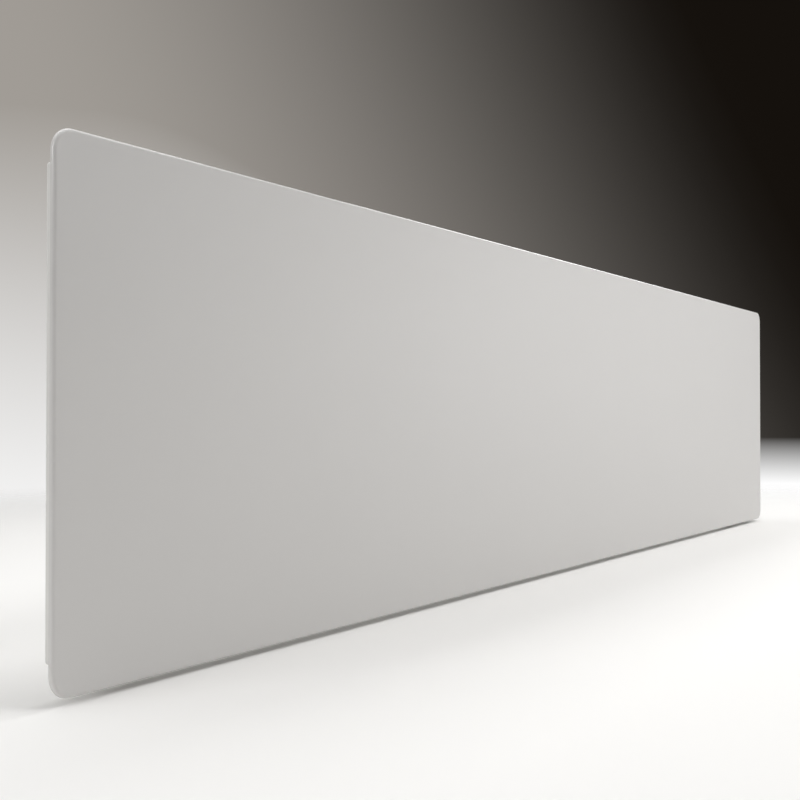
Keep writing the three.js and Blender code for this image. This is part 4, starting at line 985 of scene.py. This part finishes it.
class FinishTerminals(bpy.types.Operator):
    """Terminal block, switch tabs, earth stud, cut-outs and leads inside the bay"""

    bl_idname = "panel_heater.terminals"
    bl_label = "Terminals and Leads"

    def execute(self, context):
        plastic = context.scene.panel_heater_plastic
        steel = context.scene.panel_heater_steel
        inside = context.scene.panel_heater_inside
        dress(moulded("moulded_terminal_nylon", plastic.white_colour, scatter=0.05),
              "terminal_block")
        dress(moulded("moulded_phenolic", plastic.black_colour, texture=0.4),
              "thermal_cutout_1", "thermal_cutout_2")
        dress(rolled_metal("stamped_brass", inside.brass_colour, 0.4, roughness=(0.25, 0.4)),
              "foil_terminal_1", "foil_terminal_2", "switch_tab_1", "switch_tab_2", "earth_lug")
        dress(drawn_stainless(steel.stainless_colour), "earth_stud", "earth_washer", "earth_nut")
        dress(lead_sleeve("brown_silicone_sleeve", inside.brown_colour),
              "lead_live", "lead_switched", "lead_link", "lead_heater")
        dress(lead_sleeve("blue_silicone_sleeve", inside.blue_colour), "lead_neutral")
        dress(striped_sleeve(inside.green_colour, inside.yellow_colour), "lead_earth")
        return {"FINISHED"}


class FinishLaminate(bpy.types.Operator):
    """Heating laminate, reflector and insulation board"""

    bl_idname = "panel_heater.laminate"
    bl_label = "Laminate and Insulation"

    def execute(self, context):
        look = context.scene.panel_heater_inside
        dress(polyimide_film(look.film_colour), "heater_film_front", "heater_film_back")
        dress(rolled_metal("etched_resistance_foil", look.foil_colour, 0.5, roughness=(0.3, 0.42)),
              "heating_foil")
        dress(rolled_metal("rolled_aluminium", look.aluminium_colour, 0.6, roughness=(0.2, 0.32)),
              "reflector_sheet")
        dress(mineral_wool(look.wool_colour), "insulation_board")
        return {"FINISHED"}


class MakeStage(bpy.types.Operator):
    """Pale floor, graded backdrop, soft lamps and the camera"""

    bl_idname = "panel_heater.stage"
    bl_label = "Stage"

    # Each lamp's name, the setting of its power, its size, where it hangs and what it aims at.
    lamps = (
        ("overhead_lamp", "top_power", (3.6, 0.6), (0.8, -0.35, 1.9), (0.8, -0.35, 0)),
        ("back_lamp", "back_power", (3.6, 0.9), (-0.3, 0.9, 1.9), (-0.3, 0.6, 0)),
        ("rim_lamp", "rim_power", (1.8, 1.5), (3.9, 0.8, 1.85), (0.2, 0, 0)),
        ("side_lamp", "side_power", (1.2, 1.0), (-2.8, 0.4, 1.0), (-0.9, 0, -0.1)),
        ("far_end_lamp", "end_power", (2.0, 1.4), (3.6, -2.4, 0.45), (0.5, 0, -0.1)),
        ("front_lamp", "front_power", (2.4, 0.8), (0.5, -1.8, 2.0), (0.4, 0, -0.2)),
    )
    floor_radius = 4
    floor_fade = (1.05, 2.3)  # metres from the middle, from the full floor to none of it
    # What is seen over the horizon: headings in degrees, from +X towards +Y, and their colours; the
    # near-black ones are painted shade on the backdrop.
    backdrop = (
        (-150, "#F4F2EF"), (-50, "#E6E4E1"), (-10, "#E6E4E1"), (4, "#15110D"), (16.2, "#15110D"),
        (50.2, "#A19C96"), (100, "#F4F2EF"),
    )
    # Heights over the horizon are the upward parts of unit directions, as the shader gives them.
    lean = (0.26, -0.04, 0.15)  # upright at the first height, and this angle further at the second
    glow_headings = (16, 46)  # degrees, from the dark side to the near end's side
    glow_tops = (-0.016, 0.24)  # where the white glow ends above, at these two
    glow_bottoms = (-0.052, -0.13)  # and where it is full
    room_heights = (0.05, 0.7)  # between which the room's light comes up

    def execute(self, context):
        look = context.scene.panel_heater_stage
        self.make_floor(look, cad_box[0].z - look.floor_gap)
        self.make_backdrop(context, look)
        for name, setting, size, place, target in self.lamps:
            self.make_lamp(name, getattr(look, setting), size, place, target)
        self.make_camera(context, look)
        context.scene.view_settings.view_transform = "Standard"
        return {"FINISHED"}

    @staticmethod
    def seen_directly(tree):
        """1 for a ray that shows the stage itself: from the camera, a reflection or glass."""
        path = add_node(tree, "LightPath")
        seen = path.outputs["Is Camera Ray"]
        for ray in ("Is Glossy Ray", "Is Transmission Ray"):
            either = add_node(tree, "Math", {0: seen, 1: path.outputs[ray]}, operation="MAXIMUM")
            seen = either.outputs[0]
        return seen

    def make_floor(self, look, height):
        """A round floor that fades into the backdrop far from the panel."""
        form = bmesh.new()
        bmesh.ops.create_circle(form, cap_ends=True, segments=96, radius=self.floor_radius)
        mesh = as_mesh("studio_floor", form)
        mesh.materials.append(self.floor_material(look))
        floor = place_in_scene("studio_floor", mesh)
        floor.location = (0, 0, height)

    def floor_material(self, look):
        """Matt painted boards, plain and pale."""
        # Gives an even floor; the colour it shows and the light it throws back are set apart.
        made, tree, shader, place = start_material(
            "matt_studio_floor", {"Roughness": 0.9, "Base Color": shade(look.floor_colour)},
        )
        bounce = add_node(tree, "BsdfDiffuse", {"Color": shade(look.floor_bounce)})
        board = add_node(
            tree, "MixShader",
            {0: self.seen_directly(tree), 1: bounce.outputs[0], 2: shader.outputs[0]},
        )
        far = add_node(tree, "VectorMath", {0: place}, operation="LENGTH")
        full, gone = self.floor_fade
        fade = add_node(
            tree, "MapRange", {"Value": far.outputs[1], "From Min": full, "From Max": gone},
            interpolation_type="SMOOTHSTEP",
        )
        clear = add_node(tree, "BsdfTransparent")
        mixed = add_node(
            tree, "MixShader", {0: fade.outputs[0], 1: board.outputs[0], 2: clear.outputs[0]},
        )
        output = next(node for node in tree.nodes if node.type == "OUTPUT_MATERIAL")
        tree.links.new(mixed.outputs[0], output.inputs[0])
        return made

    def make_backdrop(self, context, look):
        """The world: soft light from above, and a backdrop that turns from pale to dark in painted
        shade, with a painted glow over the horizon.
        """
        world = bpy.data.worlds.new("studio")
        context.scene.world = world
        world.use_nodes = True
        tree = world.node_tree
        tree.nodes.clear()
        direction = add_node(tree, "TexCoord").outputs["Generated"]
        parts = add_node(tree, "SeparateXYZ", {0: direction})
        height = parts.outputs[2]
        heading = add_node(
            tree, "Math", {0: parts.outputs[1], 1: parts.outputs[0]}, operation="ARCTAN2",
        ).outputs[0]
        # The dark side, painted shade on the backdrop, recedes towards the horizon.
        upright, leaning, lean_angle = self.lean
        lean = add_node(
            tree, "MapRange",
            {"Value": height, "From Min": upright, "From Max": leaning, "To Max": lean_angle},
            clamp=False,
        )
        leant = add_node(tree, "Math", {0: heading, 1: lean.outputs[0]}, operation="ADD")
        turn = add_node(
            tree, "MapRange",
            {"Value": leant.outputs[0], "From Min": -math.pi, "From Max": math.pi},
        )
        upper = add_node(tree, "ValToRGB", {0: turn.outputs[0]})
        ramp = upper.color_ramp
        ramp.interpolation = "EASE"
        while len(ramp.elements) < len(self.backdrop):
            ramp.elements.new(0.5)
        for element, (degrees, hex_colour) in zip(ramp.elements, self.backdrop):
            element.position = 0.5 + degrees / 360
            element.color = [*linear(hex_colour), 1]
        # The glow over the horizon is high and soft at the near end's side, low at the dark side.
        first, last = (math.radians(degrees) for degrees in self.glow_headings)
        near_side = add_node(
            tree, "MapRange", {"Value": heading, "From Min": first, "From Max": last},
            interpolation_type="SMOOTHSTEP",
        )
        top, bottom = (
            add_node(tree, "MapRange",
                     {"Value": near_side.outputs[0], "To Min": dark_side, "To Max": near_end})
            for dark_side, near_end in (self.glow_tops, self.glow_bottoms)
        )
        glow = add_node(
            tree, "MapRange",
            {"Value": height, "From Min": top.outputs[0], "From Max": bottom.outputs[0]},
        )
        seen = add_node(tree, "Mix", {0: glow.outputs[0], 6: upper.outputs[0], 7: (1, 1, 1, 1)},
                        data_type="RGBA")
        # The room's light comes from above, so that it leaves the gap under the panel dark.
        dark, light = self.room_heights
        above = add_node(
            tree, "MapRange",
            {"Value": height, "From Min": dark, "From Max": light, "To Max": look.room_light},
            interpolation_type="SMOOTHSTEP",
        )
        room = add_node(tree, "Background", {"Color": (1, 1, 1, 1), "Strength": above.outputs[0]})
        shown = add_node(tree, "Background", {"Color": seen.outputs[2], "Strength": 1})
        mixed = add_node(
            tree, "MixShader",
            {0: self.seen_directly(tree), 1: room.outputs[0], 2: shown.outputs[0]},
        )
        add_node(tree, "OutputWorld", {"Surface": mixed.outputs[0]})

    def make_lamp(self, name, watts, size, place, target):
        """A rectangular soft lamp."""
        data = bpy.data.lights.new(name, "AREA")
        data.shape = "RECTANGLE"
        data.energy = watts
        data.size, data.size_y = size
        lamp = place_in_scene(name, data)
        lamp.location = place
        aim = Vector(target) - Vector(place)
        lamp.rotation_euler = aim.to_track_quat("-Z", "Y").to_euler()
        lamp.visible_camera = False

    def make_camera(self, context, look):
        """The camera stands near the left end, a little under the panel's middle."""
        data = bpy.data.cameras.new("camera")
        data.lens = look.focal_length
        data.sensor_width = 36
        data.clip_start, data.clip_end = 0.01, 100
        camera = place_in_scene("camera", data)
        camera.location = look.camera_place
        camera.rotation_euler = Vector(look.camera_heading).to_track_quat("-Z", "Y").to_euler()
        context.scene.camera = camera


class HeaterSidebar(bpy.types.Panel):
    """Lists the pieces of the heater"""

    bl_idname = "VIEW3D_PT_panel_heater"
    bl_label = "Panel Heater"
    bl_space_type = "VIEW_3D"
    bl_region_type = "UI"
    bl_category = "Panel Heater"

    def draw(self, context):
        for operator in OPERATORS:
            self.layout.operator(operator.bl_idname)
        for name in SETTINGS:
            group = getattr(context.scene, name)
            box = self.layout.box()
            for prop in group.bl_rna.properties:
                if prop.identifier not in ("rna_type", "name"):
                    box.prop(group, prop.identifier)


SETTINGS = {
    "panel_heater_plate": PlateSettings,
    "panel_heater_steel": SteelSettings,
    "panel_heater_plastic": PlasticSettings,
    "panel_heater_inside": InsideSettings,
    "panel_heater_stage": StageSettings,
}
OPERATORS = [
    MakePlate, FinishHousing, FinishRail, FinishHooks, MakeRivets, MakeCoverScrews, MakeSpacers,
    MakeGland, MakeSwitch, FinishTerminals, FinishLaminate, MakeStage,
]


def register():
    for kind in [*SETTINGS.values(), *OPERATORS, HeaterSidebar]:
        bpy.utils.register_class(kind)
    for name, kind in SETTINGS.items():
        setattr(bpy.types.Scene, name, PointerProperty(type=kind))


def unregister():
    for name in SETTINGS:
        delattr(bpy.types.Scene, name)
    for kind in reversed([*SETTINGS.values(), *OPERATORS, HeaterSidebar]):
        bpy.utils.unregister_class(kind)


def main():
    register()
    for operator in OPERATORS:
        group, name = operator.bl_idname.split(".")
        getattr(getattr(bpy.ops, group), name)()


if __name__ == "__main__":
    main()
